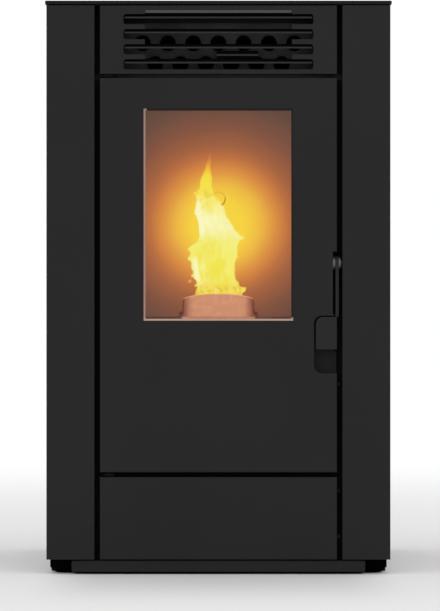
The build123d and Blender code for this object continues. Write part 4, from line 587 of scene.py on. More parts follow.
@finish
def hearth_iron(web, at):
    """The hearth plate: reddish fire light painted near the pot as emission, a painted highlight and painted
    shade along its front edge, grey ash in its corners.
    """
    across, deep, _ = web.parts(at)
    sand = web.grain(at, 600.0, 3.0)
    ash = web.spots(at, 30.0, 5.0, 0.42, 0.68)
    side, run = across / HEARTH_GLOW[0], (deep - POT_CENTRE.y) / HEARTH_GLOW[1]
    reach = (side * side + run * run) ** 0.5
    glow = web.ramp(reach / 1.4, (
        (0.0, tone(190, 104, 62)), (0.55, tone(128, 74, 56)), (1.0, tone(72, 46, 40))))
    # The front edge: a painted highlight by the pot and painted shade beyond it.
    near_pot = web.band(across, POT_R + 3 * MM, POT_R - 2 * MM)
    edge = web.mix(near_pot, tone(104, 70, 60), tone(240, 168, 130))
    glow = web.mix(web.step(deep, HEARTH_FRONT_Y + 1.5 * MM, HEARTH_FRONT_Y + 0.5 * MM), glow, edge)
    return {
        "Base Color": web.mix(ash, tone(34, 30, 28), tone(112, 106, 100)),
        "Roughness": 0.88 - ash * 0.05,
        "Specular IOR Level": 0.2,
        "Emission Color": glow,
        "Emission Strength": 0.6,
        "Normal": web.relief(sand * 0.6 + ash, 0.0002, 0.0006),
    }


@finish
def stove_glass(web, at):
    """Clear ceramic glass with a faint amber cast and a breath of soot at its foot."""
    _, _, up = web.parts(at)
    haze = web.grain(at, 12.0, 4.0, 0.6)
    foot = web.step(up, WINDOW_Z[0] + 90 * MM, WINDOW_Z[0])
    return {
        "Base Color": web.mix(foot, tone(120, 92, 66), tone(70, 52, 40)),
        "Roughness": haze * 0.06 + foot * 0.05 + 0.03,
        "Specular IOR Level": 0.5,
        "Alpha": foot * haze * 0.06 + 0.05,
    }


@finish
def woven_glass(web, at):
    """Knitted glass fibre rope or tape: off-white, singed grey on its high strands."""
    thread = web.grain(at, 1800.0, 3.0, 0.7)
    singe = web.spots(at, 35.0, 4.0, 0.4, 0.75)
    clean = web.mix(thread, tone(120, 116, 108), tone(196, 192, 182))
    return {
        "Base Color": web.mix(singe * 0.75, clean, tone(74, 70, 66)),
        "Roughness": 0.95,
        "Specular IOR Level": 0.2,
        "Normal": web.relief(thread, 0.0003),
    }


@finish
def silicone_rubber(web, at):
    """Matt high-temperature silicone, with lint caught on it."""
    lint = web.step(web.grain(at, 380.0, 4.0, 0.7), 0.58, 0.74)
    cloud = web.grain(at, 40.0, 2.0)
    rubber = web.mix(cloud, tone(44, 42, 42), tone(62, 59, 58))
    return {
        "Base Color": web.mix(lint * 0.4, rubber, tone(132, 128, 122)),
        "Roughness": cloud * 0.1 + 0.55,
        "Specular IOR Level": 0.35,
        "Normal": web.relief(cloud, 0.0002),
    }


@finish
def heated_rod(web, at):
    """The igniter's sheath, tempered straw to blue along its length."""
    _, deep, _ = web.parts(at)
    drawn = web.grain(web.stretch(at, (8.0, 0.6, 8.0)), 160.0, 2.0)
    temper = web.ramp(web.step(deep, -55 * MM, 10 * MM) * 0.9 + drawn * 0.1, (
        (0.0, tone(84, 70, 66)), (0.35, tone(92, 84, 108)), (0.6, tone(150, 118, 70)),
        (1.0, tone(158, 154, 148)),
    ))
    return {
        "Base Color": temper,
        "Metallic": 0.9,
        "Roughness": drawn * 0.2 + 0.3,
        "Normal": web.relief(drawn, 0.00003, 0.0004),
    }


@finish
def moulded_plastic(web, at, colour, roughness):
    """Injection-moulded plastic with a spark-eroded grain."""
    spark = web.grain(at, 1700.0, 2.0)
    scuff = web.step(web.grain(at, 60.0, 4.0, 0.6), 0.55, 0.75)
    return {
        "Base Color": web.mix(scuff * 0.4, colour, shade(colour, 1.9)),
        "Roughness": (spark - 0.5) * 0.15 + scuff * 0.1 + roughness,
        "Normal": web.relief(spark, 0.00006, 0.0005),
    }


@finish
def circuit_board(web, at):
    """Green solder mask with its copper tracks showing through."""
    track = web.step(abs(web.cells(web.stretch(at, (1.0, 0.01, 0.25)), 300.0) - 0.5), 0.3, 0.34)
    weave = web.grain(at, 1200.0, 1.0)
    mask = web.mix(weave, tone(18, 66, 40), tone(24, 80, 50))
    return {
        "Base Color": web.mix(track, mask, tone(58, 122, 74)),
        "Roughness": weave * 0.1 + 0.32,
        "Normal": web.relief(track, 0.00006, 0.0004),
    }


@finish
def pressed_wood(web, at):
    """Pressed pine pellets: tan, a darker burnish on some, powdery ends."""
    each = web.grain(at, 95.0, 1.0)
    fibre = web.grain(at, 1500.0, 3.0, 0.7)
    tan = web.mix(web.step(each, 0.3, 0.7), tone(150, 112, 70), tone(206, 170, 118))
    return {
        "Base Color": web.mix(fibre * 0.6, tan, tone(122, 86, 50)),
        "Roughness": 0.75 - each * 0.25,
        "Specular IOR Level": 0.3,
        "Normal": web.relief(fibre, 0.0002),
    }


@finish
def ember_skin(web, at):
    """Burning pellets: orange cores under a crust of grey ash."""
    heat = web.grain(at, 110.0, 3.0)
    crust = web.grain(at, 800.0, 3.0)
    glow = web.ramp(heat * 0.8 + crust * 0.25, (
        (0.25, tone(70, 16, 4)), (0.45, tone(214, 70, 12)), (0.65, tone(252, 168, 40)),
        (0.85, tone(255, 226, 120)),
    ))
    return {
        "Base Color": web.mix(crust, tone(40, 32, 28), tone(120, 112, 104)),
        "Roughness": 0.9,
        "Emission Color": glow,
        "Emission Strength": 1.0,
        "Normal": web.relief(crust, 0.0003),
    }


@finish
def flame_skin(web, at, strength, richness, cover):
    """One layer of the flame: its colours run up it in licks, and it thins out at its tip.

    Its bare numbers beside across and up are places in the flame, in metres.
    """
    across, _, up = web.parts(at)
    bend = web.grain(at, 22.0).out("Color")
    warp = web.add("ShaderNodeVectorMath", {"operation": "SCALE"}, {0: bend, "Scale": 0.02})
    bent = web.add("ShaderNodeVectorMath", {"operation": "ADD"}, {0: at, 1: warp})
    lick = web.grain(web.stretch(bent, (1.0, 1.0, 0.42)), 62.0, 3.0, 0.55)
    span = FLAME_HIGH - FLAME_LOW
    body = web.ramp((up - FLAME_LOW) / span + (lick - 0.5) * 0.05,
                    [((z - FLAME_LOW) / span, tone(*colour)) for z, *colour in FLAME_COLOURS])
    patch = web.grain(web.stretch(bent, (1.0, 1.0, 0.6)), 34.0, 2.0, 0.5)
    deep = (web.step(lick, 0.5, 0.3) * 0.6 + web.step(patch, 0.46, 0.34) * 0.7).least(1.0)
    body = web.mix(deep * web.step(up, 0.545, 0.52) * 0.55, body, tone(242, 226, 56))
    glade = 0.0
    for x, z, radius in FLAME_GLADES:
        aside, above = (across - x * MM) / (radius * MM), (up - z * MM) / (radius * 1.5 * MM)
        glade = web.step((aside * aside + above * above) ** 0.5 + (lick - 0.5) * 1.6, 1.15, 0.1).most(glade)
    body = web.mix(glade * 0.7, body, tone(244, 230, 66))
    curl = web.band(up - 0.598, 0.016, 0.006) * web.spots(bent, 150.0, 2.0, 0.5, 0.62)
    body = web.mix(curl * 0.4, body, tone(222, 180, 48))
    root = web.step(up, 0.458, 0.45) * web.spots(bent, 140.0, 2.0, 0.48, 0.6)
    body = web.mix(root * 0.55, body, tone(226, 178, 44))
    waist = web.band(up - FLAME_WAIST_Z, 0.036, 0.014)
    shoulder = web.band(up - 0.566, 0.036, 0.01) + web.band(up - 0.478, 0.034, 0.01)
    shoulder = shoulder * web.step(across, 0.004, -0.03)
    streak = (web.step(lick, 0.56, 0.76) * 0.45 + waist * web.step(lick, 0.35, 0.65) * 0.55
              + shoulder * web.step(lick, 0.36, 0.56) * 0.5)
    for bend_z, middle_z, outer, inner, out, lean in FLAME_RIDGES:
        line = web.band(across + out + (up - bend_z) * lean, 0.006, 0.002)
        streak = streak + line * web.band(up - middle_z, outer, inner) * 0.85
    streak = streak.least(1.0) * web.step(up, 0.612, 0.594) * (1 - glade * 0.8)
    lit = web.mix(streak * richness, body, tone(255, 254, 206))
    corner = web.step(across, -0.0425, -0.044) * web.step(up, 0.472, 0.466)
    lit = web.mix(corner, lit, tone(250, 184, 84))
    thinning = (1 - web.step(up, 0.62, 0.676) * 0.8) * (1 - web.step(up, 0.664, 0.675))
    return {
        "Base Color": grey(0),
        "Roughness": 1.0,
        "Specular IOR Level": 0.0,
        "Emission Color": lit,
        "Emission Strength": strength,
        "Alpha": thinning * ((lick - 0.5) * 0.5 + cover).least(1.0).most(0.0),
    }


# ---- meshes ----
def raw_mesh(name, vertices, edges=(), faces=()):
    """A mesh from lists."""
    mesh = bpy.data.meshes.new(name)
    mesh.from_pydata(vertices, edges, faces)
    return mesh


def mesh_piece(name, vertices, faces, material, smooth_angle=40.0):
    """A plain mesh object, smooth except at its sharp edges."""
    return finish_mesh(name, raw_mesh(name, vertices, faces=faces), material, smooth_angle)


def linked(name, data):
    """An object for a mesh, a lamp or a camera, in the scene."""
    piece = bpy.data.objects.new(name, data)
    bpy.context.scene.collection.objects.link(piece)
    return piece


def finish_mesh(name, mesh, material, smooth_angle=40.0):
    """An object for a mesh, with outward faces and its material."""
    work = bmesh.new()
    work.from_mesh(mesh)
    bmesh.ops.remove_doubles(work, verts=work.verts, dist=1e-6)
    bmesh.ops.recalc_face_normals(work, faces=work.faces)
    work.to_mesh(mesh)
    work.free()
    mesh.materials.clear()
    mesh.materials.append(material)
    mesh.shade_smooth()
    mesh.set_sharp_from_angle(angle=math.radians(smooth_angle))
    return linked(name, mesh)


def circle(steps):
    """The cosine and sine of each of these equal steps of a turn."""
    turns = [2 * math.pi * k / steps for k in range(steps)]
    return [(math.cos(turn), math.sin(turn)) for turn in turns]


def loop(count):
    """The edges that join points in a ring."""
    return [(k, (k + 1) % count) for k in range(count)]


def ring_faces(rings, steps):
    """The faces between rings of points."""
    return [(ring * steps + a, ring * steps + b, (ring + 1) * steps + b, (ring + 1) * steps + a)
            for ring in range(rings - 1) for a, b in loop(steps)]


def grid_faces(columns, rows):
    """The faces of a grid whose points run along its rows."""
    return [(a, a + 1, a + columns + 2, a + columns + 1)
            for row in range(rows) for a in range(row * (columns + 1), row * (columns + 1) + columns)]


def capped(vertices, steps, low, high):
    """The faces of rings of points, closed at both ends by a fan about a point. Adds both points."""
    rings = len(vertices) // steps
    faces = ring_faces(rings, steps)
    vertices += [low, high]
    faces += [(b, a, rings * steps) for a, b in loop(steps)]
    last = (rings - 1) * steps
    return faces + [(last + a, last + b, rings * steps + 1) for a, b in loop(steps)]


def lathe(profile, steps):
    """Vertices and faces of a profile of (radius, height) turned about z. Its ends close on the axis."""
    turns = circle(steps)
    vertices = [(radius * cos, radius * sin, height) for radius, height in profile for cos, sin in turns]
    return vertices, capped(vertices, steps, (0, 0, profile[0][1]), (0, 0, profile[-1][1]))


def ring_points(low, high, radius, steps=6):
    """Points round a rounded rectangle, given by two opposite corners."""
    points = []
    corners = ((high[0] - radius, high[1] - radius, 0), (low[0] + radius, high[1] - radius, 90),
               (low[0] + radius, low[1] + radius, 180), (high[0] - radius, low[1] + radius, 270))
    for x, y, start in corners:
        for k in range(steps + 1):
            turn = math.radians(start + 90 * k / steps)
            points.append((x + radius * math.cos(turn), y + radius * math.sin(turn)))
    return points


def seal_path(node, half_width, radius, steps=6):
    """A ring of edges along the middle of a seal that fills a node's box, and the seal's thickness.

    The ring lies across the box's thinnest side.
    """
    low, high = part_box(node)
    thin = min(range(3), key=lambda axis: high[axis] - low[axis])
    a, b = (axis for axis in range(3) if axis != thin)
    points = []
    for u, v in ring_points((low[a] + half_width, low[b] + half_width),
                            (high[a] - half_width, high[b] - half_width), radius, steps):
        point = [(low[thin] + high[thin]) / 2] * 3
        point[a], point[b] = u, v
        points.append(point)
    return raw_mesh("path", points, loop(len(points))), high[thin] - low[thin]


# ---- Geometry Nodes ----
SOCKET_KINDS = {int: "NodeSocketInt", float: "NodeSocketFloat"}


def socket_kind(value):
    """The socket type for an input's value."""
    if isinstance(value, bpy.types.Object):
        return "NodeSocketObject"
    if isinstance(value, bpy.types.Material):
        return "NodeSocketMaterial"
    return SOCKET_KINDS[type(value)]


def grow(name, seed_mesh, build, sizes, material, smooth_angle=40.0):
    """Runs a Geometry Nodes tree on a mesh and gives the piece that it makes, as a plain mesh.

    The objects among its sizes are removed with it.
    """
    tree = bpy.data.node_groups.new(name, "GeometryNodeTree")
    tree.interface.new_socket("Geometry", in_out="INPUT", socket_type="NodeSocketGeometry")
    sizes = dict(sizes, Finish=material)
    keys = {label: tree.interface.new_socket(label, in_out="INPUT", socket_type=socket_kind(value)).identifier
            for label, value in sizes.items()}
    tree.interface.new_socket("Geometry", in_out="OUTPUT", socket_type="NodeSocketGeometry")
    web = Web(tree)
    given = web.add("NodeGroupInput").socket.node
    inputs = {socket.name: Wire(web, socket) for socket in given.outputs if socket.name}
    real = web.add("GeometryNodeRealizeInstances", {}, {0: build(web, inputs)})
    painted = web.add("GeometryNodeSetMaterial", {}, {"Geometry": real, "Material": inputs["Finish"]})
    web.add("NodeGroupOutput", {}, {0: painted})
    seed = linked(name + "_seed", seed_mesh)
    modifier = seed.modifiers.new(name, "NODES")
    modifier.node_group = tree
    for label, value in sizes.items():
        modifier[keys[label]] = value
    depsgraph = bpy.context.evaluated_depsgraph_get()
    mesh = bpy.data.meshes.new_from_object(seed.evaluated_get(depsgraph))
    seed.modifiers.remove(modifier)
    for helper in [seed] + [value for value in sizes.values() if isinstance(value, bpy.types.Object)]:
        bpy.data.objects.remove(helper)
    if not mesh.polygons:
        raise RuntimeError(name + ": the tree made no faces")
    return finish_mesh(name, mesh, material, smooth_angle)


def even_path(web, given):
    """The seed's ring of edges as a curve with evenly spaced points."""
    path = web.add("GeometryNodeMeshToCurve", {}, {0: given["Geometry"]})
    return web.add("GeometryNodeResampleCurve", {}, {"Curve": path, "Count": given["Samples"]})


def braid(web, given):
    """Strands wound both ways round a core that follows a closed path in a plane of constant y."""
    path = even_path(web, given)
    sockets = {"Geometry": path, "Amount": given["Strands"]}
    copies = web.add("GeometryNodeDuplicateElements", {"domain": "SPLINE"}, sockets)
    index = copies.out("Duplicate Index")
    hand = (index % 2.0) * 2.0 - 1.0
    along = web.add("GeometryNodeSplineParameter")
    turn = (along * given["Turns"] * hand + index / given["Strands"]) * (2 * math.pi)
    weave = (along * given["Turns"] * given["Strands"] * math.pi + (index % 2.0) * math.pi).cos()
    radius = given["Rope radius"] - given["Strand radius"] * (1.6 - weave * 0.5)
    tangent = web.add("GeometryNodeInputTangent")
    side = web.add("ShaderNodeVectorMath", {"operation": "CROSS_PRODUCT"}, {0: tangent, 1: (0.0, 1.0, 0.0)})
    out = web.add("ShaderNodeVectorMath", {"operation": "SCALE"}, {0: side, "Scale": radius * turn.sin()})
    back = web.add("ShaderNodeCombineXYZ", {}, {"Y": radius * turn.cos()})
    push = web.add("ShaderNodeVectorMath", {"operation": "ADD"}, {0: out, 1: back})
    wound = web.add("GeometryNodeSetPosition", {}, {"Geometry": copies, "Offset": push})
    both = web.add("GeometryNodeJoinGeometry")
    for curve, sides, thickness in ((wound, 6, given["Strand radius"]),
                                    (path, 12, given["Rope radius"] - given["Strand radius"] * 2.0)):
        ring = web.add("GeometryNodeCurvePrimitiveCircle", {}, {"Resolution": sides, "Radius": thickness})
        part = web.add("GeometryNodeCurveToMesh", {}, {"Curve": curve, "Profile Curve": ring})
        web.tree.links.new(part.socket, both.socket.node.inputs[0])
    return both


def sweep(web, given):
    """A profile object's outline carried along a closed path."""
    level = web.add("GeometryNodeSetCurveNormal", {"mode": "Z_UP"}, {0: even_path(web, given)})
    shape = web.add("GeometryNodeObjectInfo", {}, {"Object": given["Profile"]}, "Geometry")
    profile = web.add("GeometryNodeMeshToCurve", {}, {0: shape})
    return web.add("GeometryNodeCurveToMesh", {}, {"Curve": level, "Profile Curve": profile})


def on_points(web, given):
    """A copy of an object on each vertex, turned by the vertex's own attribute."""
    shape = web.add("GeometryNodeObjectInfo", {}, {"Object": given["Shape"]}, "Geometry")
    turn = web.add("GeometryNodeInputNamedAttribute", {"data_type": "FLOAT_VECTOR"}, {"Name": "turn"})
    sockets = {"Points": given["Geometry"], "Instance": shape, "Rotation": turn}
    return web.add("GeometryNodeInstanceOnPoints", {}, sockets)


def scatter(web, given):
    """Copies of a shape strewn over faces, each turned and stretched at random."""
    seed = {"Seed": given["Seed"]}
    spots = web.add("GeometryNodeDistributePointsOnFaces", {"distribute_method": "POISSON"},
                    {"Mesh": given["Geometry"], "Distance Min": given["Spacing"],
                     "Density Max": given["Density"], **seed})
    shape = web.add("GeometryNodeObjectInfo", {}, {"Object": given["Shape"]}, "Geometry")
    turn = web.add("FunctionNodeRandomValue", {"data_type": "FLOAT_VECTOR"},
                   {0: (-0.5, -0.5, 0.0), 1: (0.5, 0.5, 2 * math.pi), **seed})
    long, lift = (web.add("FunctionNodeRandomValue", {"data_type": "FLOAT"}, {2: low, 3: high, **seed}, 1)
                  for low, high in ((0.65, 1.3), (0.0, given["Lift"])))
    size = web.add("ShaderNodeCombineXYZ", {}, {"X": long, "Y": 1.0, "Z": 1.0})
    up = web.add("ShaderNodeCombineXYZ", {}, {"Z": lift})
    raised = web.add("GeometryNodeSetPosition", {}, {"Geometry": spots, "Offset": up})
    sockets = {"Points": raised, "Instance": shape, "Rotation": turn, "Scale": size}
    return web.add("GeometryNodeInstanceOnPoints", {}, sockets)


def hidden_shape(name, vertices, faces, edges=()):
    """A shape for a tree to copy. It is removed when the piece is made."""
    return linked(name, raw_mesh(name, vertices, edges, faces))


def add_turns(mesh, turns):
    """Stores a rotation on each vertex of a mesh."""
    attribute = mesh.attributes.new("turn", "FLOAT_VECTOR", "POINT")
    for entry, turn in zip(attribute.data, turns):
        entry.vector = turn


def place_piece(piece, body, slot, *replaced):
    """Says which body a piece rides on and hides the nodes that it stands for. Its slot, the finish it would
    take, is not used.
    """
    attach(piece, body)
    if replaced:
        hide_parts(*replaced)


# ---- settings ----
def length(name, description, low, high, default):
    """A setting in metres."""
    return FloatProperty(name=name, description=description, subtype="DISTANCE", unit="LENGTH",
                         min=low, max=high, default=default)


def share(name, description, default):
    """A setting from 0 to 1."""
    return FloatProperty(name=name, description=description, subtype="FACTOR",
                         min=0.0, max=1.0, default=default)


def level(name, description, default):
    """A setting that multiplies light."""
    return FloatProperty(name=name, description=description, min=0.0, max=10.0, default=default)


class StoveFinishSettings(bpy.types.PropertyGroup):
    """Colours of the casing."""

    casing_colour: FloatVectorProperty(
        name="Casing colour", description="Colour of the powder coat", subtype="COLOR", size=4,
        min=0.0, max=1.0, default=(0.0175, 0.0175, 0.0174, 1.0))
    casing_roughness: share("Casing roughness", "Roughness of the powder coat", 0.5)
    casing_gloss: share("Casing gloss", "Strength of the powder coat's reflection", 0.12)


class StoveFireSettings(bpy.types.PropertyGroup):
    """The fire in the pot."""

    brightness: level("Brightness", "Strength of the flame's light", 1.05)
    ember_spacing: length("Ember spacing", "Least distance between burning pellets", 0.002, 0.03, 0.0062)
    flame_seed: IntProperty(name="Flame seed", description="Picks the flame's folds", min=0, default=4)


class StoveHopperSettings(bpy.types.PropertyGroup):
    """The pellets in the hopper."""

    pellet_radius: length("Pellet radius", "Half of a pellet's diameter", 0.001, 0.006, 0.003)
    pellet_length: length("Pellet length", "Mean length of a pellet", 0.004, 0.04, 0.016)
    pellet_spacing: length("Pellet spacing", "Least distance between pellet centres", 0.002, 0.03, 0.0058)


class StoveStudioSettings(bpy.types.PropertyGroup):
    """The floor, the lamps and the camera."""

    camera_distance: length("Camera distance", "From the stove's front to the camera", 1.0, 20.0, 4.8)
    view_height: length("View height", "Height that fills the picture, at the stove's front",
                        0.1, 5.0, 0.9584)
    lamp_level: level("Lamp level", "Multiplies every lamp's power", 1.0)


# ---- operators ----
CASING_NODES = ("hopper_lid", "side_panel_left", "side_panel_right", "ash_drawer_front")
BLADE_NODES = ("louvre_blade_1", "louvre_blade_2", "louvre_blade_3", "louvre_blade_4")


def dress(names, material):
    """Gives CAD nodes a material."""
    for name in names:
        for entry in NODES[name].material_slots:
            entry.material = material


class STOVE_OT_casing(bpy.types.Operator):
    """Paints the casing, the door's panel and the handle"""

    bl_idname = "stove.casing"
    bl_label = "Casing paint"

    def execute(self, context):
        settings = context.scene.stove_finish
        colour = tuple(settings.casing_colour)
        rough, gloss = settings.casing_roughness, settings.casing_gloss
        dress(CASING_NODES, powder_coat("casing_powder_coat", colour, rough, gloss))
        # The plinth's hem gets a painted shadow; the door, the grille, the top plate and the blades get
        # painted highlights and painted shade on their edges.
        dress(("plinth",), powder_coat("plinth_powder_coat", colour, rough, gloss, sunk=plinth_hem))
        for nodes, name, catch in ((("door_panel",), "door_powder_coat", window_bevels),
                                   (("grille_panel",), "grille_powder_coat", grille_edges),
                                   (("top_plate",), "top_powder_coat", plate_edge),
                                   (BLADE_NODES, "blade_powder_coat", blade_faces)):
            dress(nodes, powder_coat(name, colour, rough, gloss, catch=catch))
        # The scraper's pull is painted near black as painted shade, with a painted highlight along its edge.
        dress(("scraper_handle",), powder_coat("pull_black", grey(8), 0.8, 0.1, catch=pull_faces))
        lever = powder_coat("lever_powder_coat", shade(colour, 1.15), rough - 0.08, gloss, 1400.0)
        dress(("handle_lever",), lever)
        return {"FINISHED"}


class STOVE_OT_metalwork(bpy.types.Operator):
    """Finishes the inner steel, castings, sheet, plated and electrical parts by their slots"""

    bl_idname = "stove.metalwork"
    bl_label = "Inner metalwork"

    def execute(self, context):
        finishes = {
            "inner_paint": stove_black("stove_black_steel"),
            "galvanised": galvanised_sheet("galvanised_steel"),
            "zinc": zinc_plate("zinc_plated_steel"),
            "refractory": refractory_board("vermiculite_board"),
            "motor_metal": motor_shell("motor_steel"),
            "element": heated_rod("igniter_sheath"),
            "foot_plastic": moulded_plastic("foot_nylon", tone(34, 34, 35), 0.5),
            "socket_plastic": moulded_plastic("socket_thermoset", tone(28, 28, 29), 0.4),
            "board": circuit_board("circuit_laminate"),
        }
        for node in NODES.values():
            for entry in node.material_slots:
                if entry.material and entry.material.name in finishes:
                    entry.material = finishes[entry.material.name]
        # The front plate, the frame, the hinges, the keeper, the pan and the feet are painted darker than the
        # other inner steel, as painted shade; the front plate also gets painted light through the gap over
        # the door.
        dress(("front_plate",), stove_black("plate_black", grey(12), 0.85, behind_gap))
        dress(("chassis_frame", "door_hinge_brackets", "door_hinge_blocks", "latch_keeper"),
              stove_black("frame_black", grey(12), 0.85))
        dress(("base_pan", "levelling_feet"), stove_black("pan_black", grey(3), 0.85, shine=0.02))
        dress(("handle_fasteners",), zinc_plate("dulled_zinc", 0.5, 0.3))
        # The fireback, the burn pot and the hearth have the fire's light painted on them as emission.
        dress(("fireback",), fireback_iron("lit_fireback"))
        dress(("burn_pot",), pot_iron("lit_burn_pot"))
        dress(("hearth_plate",), hearth_iron("lit_hearth"))
        dress(("door_glass",), stove_glass("ceramic_glass_sheet"))
        return {"FINISHED"}


class STOVE_OT_rope_seal(bpy.types.Operator):
    """Braids the door's rope seal"""

    bl_idname = "stove.rope_seal"
    bl_label = "Rope seal"

    def execute(self, context):
        low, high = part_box("door_rope_seal")
        radius = (high.y - low.y) / 2
        path, _ = seal_path("door_rope_seal", radius, 18 * MM)
        sizes = {"Samples": 560, "Strands": 8, "Turns": 48.0, "Rope radius": radius,
                 "Strand radius": 1.25 * MM}
        piece = grow("door_rope_braid", path, braid, sizes, woven_glass("glass_fibre_rope"))
        place_piece(piece, DOOR, "rope", "door_rope_seal")
        return {"FINISHED"}


class STOVE_OT_flat_seals(bpy.types.Operator):
    """Lays the glass's tape gasket and the lid's ribbed silicone seal"""

    bl_idname = "stove.flat_seals"
    bl_label = "Tape and lid seals"

    def execute(self, context):
        half_width = 2.5 * MM
        path, thick = seal_path("glass_gasket", half_width, 3 * MM, 3)
        count, groove = 10, 0.25 * MM
        wave = [(-half_width + 2 * half_width * k / count, thick / 2 - groove * (k % 2))
                for k in range(count + 1)]
        tape = wave + [(u, -v) for u, v in reversed(wave)]
        piece = self.swept("glass_tape_gasket", path, tape, woven_glass("glass_fibre_tape"))
        place_piece(piece, DOOR, "rope", "glass_gasket")
        width = 8 * MM
        path, high = seal_path("lid_seal", width / 2, 5 * MM, 4)
        side = [(0.5, -0.5), (0.5, -0.28), (0.44, -0.2), (0.44, -0.05), (0.4, 0.12), (0.3, 0.3), (0.18, 0.42)]
        bulb = [(-0.5, -0.5)] + side + [(0.0, 0.47)] + [(-u, v) for u, v in side[:0:-1]]
        bulb = [(u * width, v * high) for u, v in bulb]
        piece = self.swept("lid_bulb_seal", path, bulb, silicone_rubber("lid_silicone"))
        place_piece(piece, LID, "silicone", "lid_seal")
        return {"FINISHED"}

    @staticmethod
    def swept(name, path, profile, material):
        """A piece of the given profile along a closed path."""
        points = [(u, v, 0.0) for u, v in profile]
        shape = hidden_shape(name + "_profile", points, [], loop(len(points)))
        return grow(name, path, sweep, {"Samples": 240, "Profile": shape}, material, smooth_angle=50.0)


def flame_edge(side, height):
    """How far one side of the flame reaches at a height, in metres."""
    height /= MM
    for (z0, x0), (z1, x1) in zip(side, side[1:]):
        if height <= z1:
            return (x0 + (x1 - x0) * max(0.0, (height - z0) / (z1 - z0))) * MM
    return side[-1][1] * MM


def flame_shell(fullness, seed, rings=170, steps=56):
    """One closed layer of the flame: rings along its wandering axis, folded by noise.

    The layers lie close together low down and spread apart near the tip, so that it thins out.
    """
    base_z, high_z = FLAME_LEFT[0][0] * MM, FLAME_LEFT[-1][0] * MM
    tip_z = base_z + (high_z - base_z) * (0.45 + 0.55 * min(1.0, fullness))
    taper = 0.04 if fullness < 0.95 else 0.012
    turns, vertices = circle(steps), []
    for ring in range(rings):
        height = base_z + (tip_z - base_z) * ring / (rings - 1)
        left, right = flame_edge(FLAME_LEFT, height), flame_edge(FLAME_RIGHT, height)
        rise = min(1.0, max(0.0, (height - FLAME_WAIST_Z) / 0.1))
        half = (right - left) / 2 * (1 - (1 - fullness) * (0.6 + 2.4 * rise))
        half = max(0.0008, half * min(1.0, (tip_z - height) / taper + 0.05))
        centre_x = (left + right) / 2
        centre_y = POT_CENTRE.y + 0.006 * noise.noise((seed, 3.1, height * 16))
        for cos, sin in turns:
            fold = noise.fractal((cos * 1.7 + seed, sin * 1.7, height * 26), 0.8, 2.2, 3)
            lick = noise.fractal((cos * 3.1 - seed, sin * 3.1, height * 70), 0.9, 2.0, 2)
            free = 1 - abs(cos) ** 3
            swell = 1 + 0.16 * fold * (0.1 + 0.9 * free) + 0.05 * lick
            nib = noise.noise((cos * 2 + seed, sin * 2, height * 260)) * FLAME_FRINGE
            vertices.append((centre_x + (half * swell + nib) * cos,
                             centre_y + half * FLAME_DEPTH * sin * swell,
                             height + 0.002 * fold * free))
    ends = [tuple(sum(v[axis] for v in rim) / steps for axis in range(3))
            for rim in (vertices[:steps], vertices[-steps:])]
    return vertices, capped(vertices, steps, *ends)


def spark_blob(centre, size, seed):
    """A small torn-off lick of flame, taller than wide."""
    work = bmesh.new()
    bmesh.ops.create_icosphere(work, subdivisions=2, radius=1.0)
    for vertex in work.verts:
        point = vertex.co
        swell = 1 + 0.35 * noise.noise(point * 1.6 + Vector((seed, 0, 0)))
        vertex.co = Vector(((point.x + 0.3 * point.z) * size * swell, point.y * size * swell,
                            point.z * size * 1.25 * swell)) + Vector(centre)
    vertices = [tuple(v.co) for v in work.verts]
    faces = [tuple(v.index for v in f.verts) for f in work.faces]
    work.free()
    return vertices, faces


def joined(parts):
    """Several lists of vertices and faces as one."""
    vertices, faces = [], []
    for more, their_faces in parts:
        start = len(vertices)
        vertices.extend(more)
        faces.extend(tuple(start + k for k in face) for face in their_faces)
    return vertices, faces


def pellet_shape(name, radius, long, steps=7):
    """A short pressed rod along x with chamfered ends, for a tree to copy."""
    profile = [(radius * 0.8, -long / 2), (radius, -long / 2 + radius * 0.2),
               (radius, long / 2 - radius * 0.2), (radius * 0.8, long / 2)]
    vertices, faces = lathe(profile, steps)
    return hidden_shape(name, [(z, x, y) for x, y, z in vertices], faces)


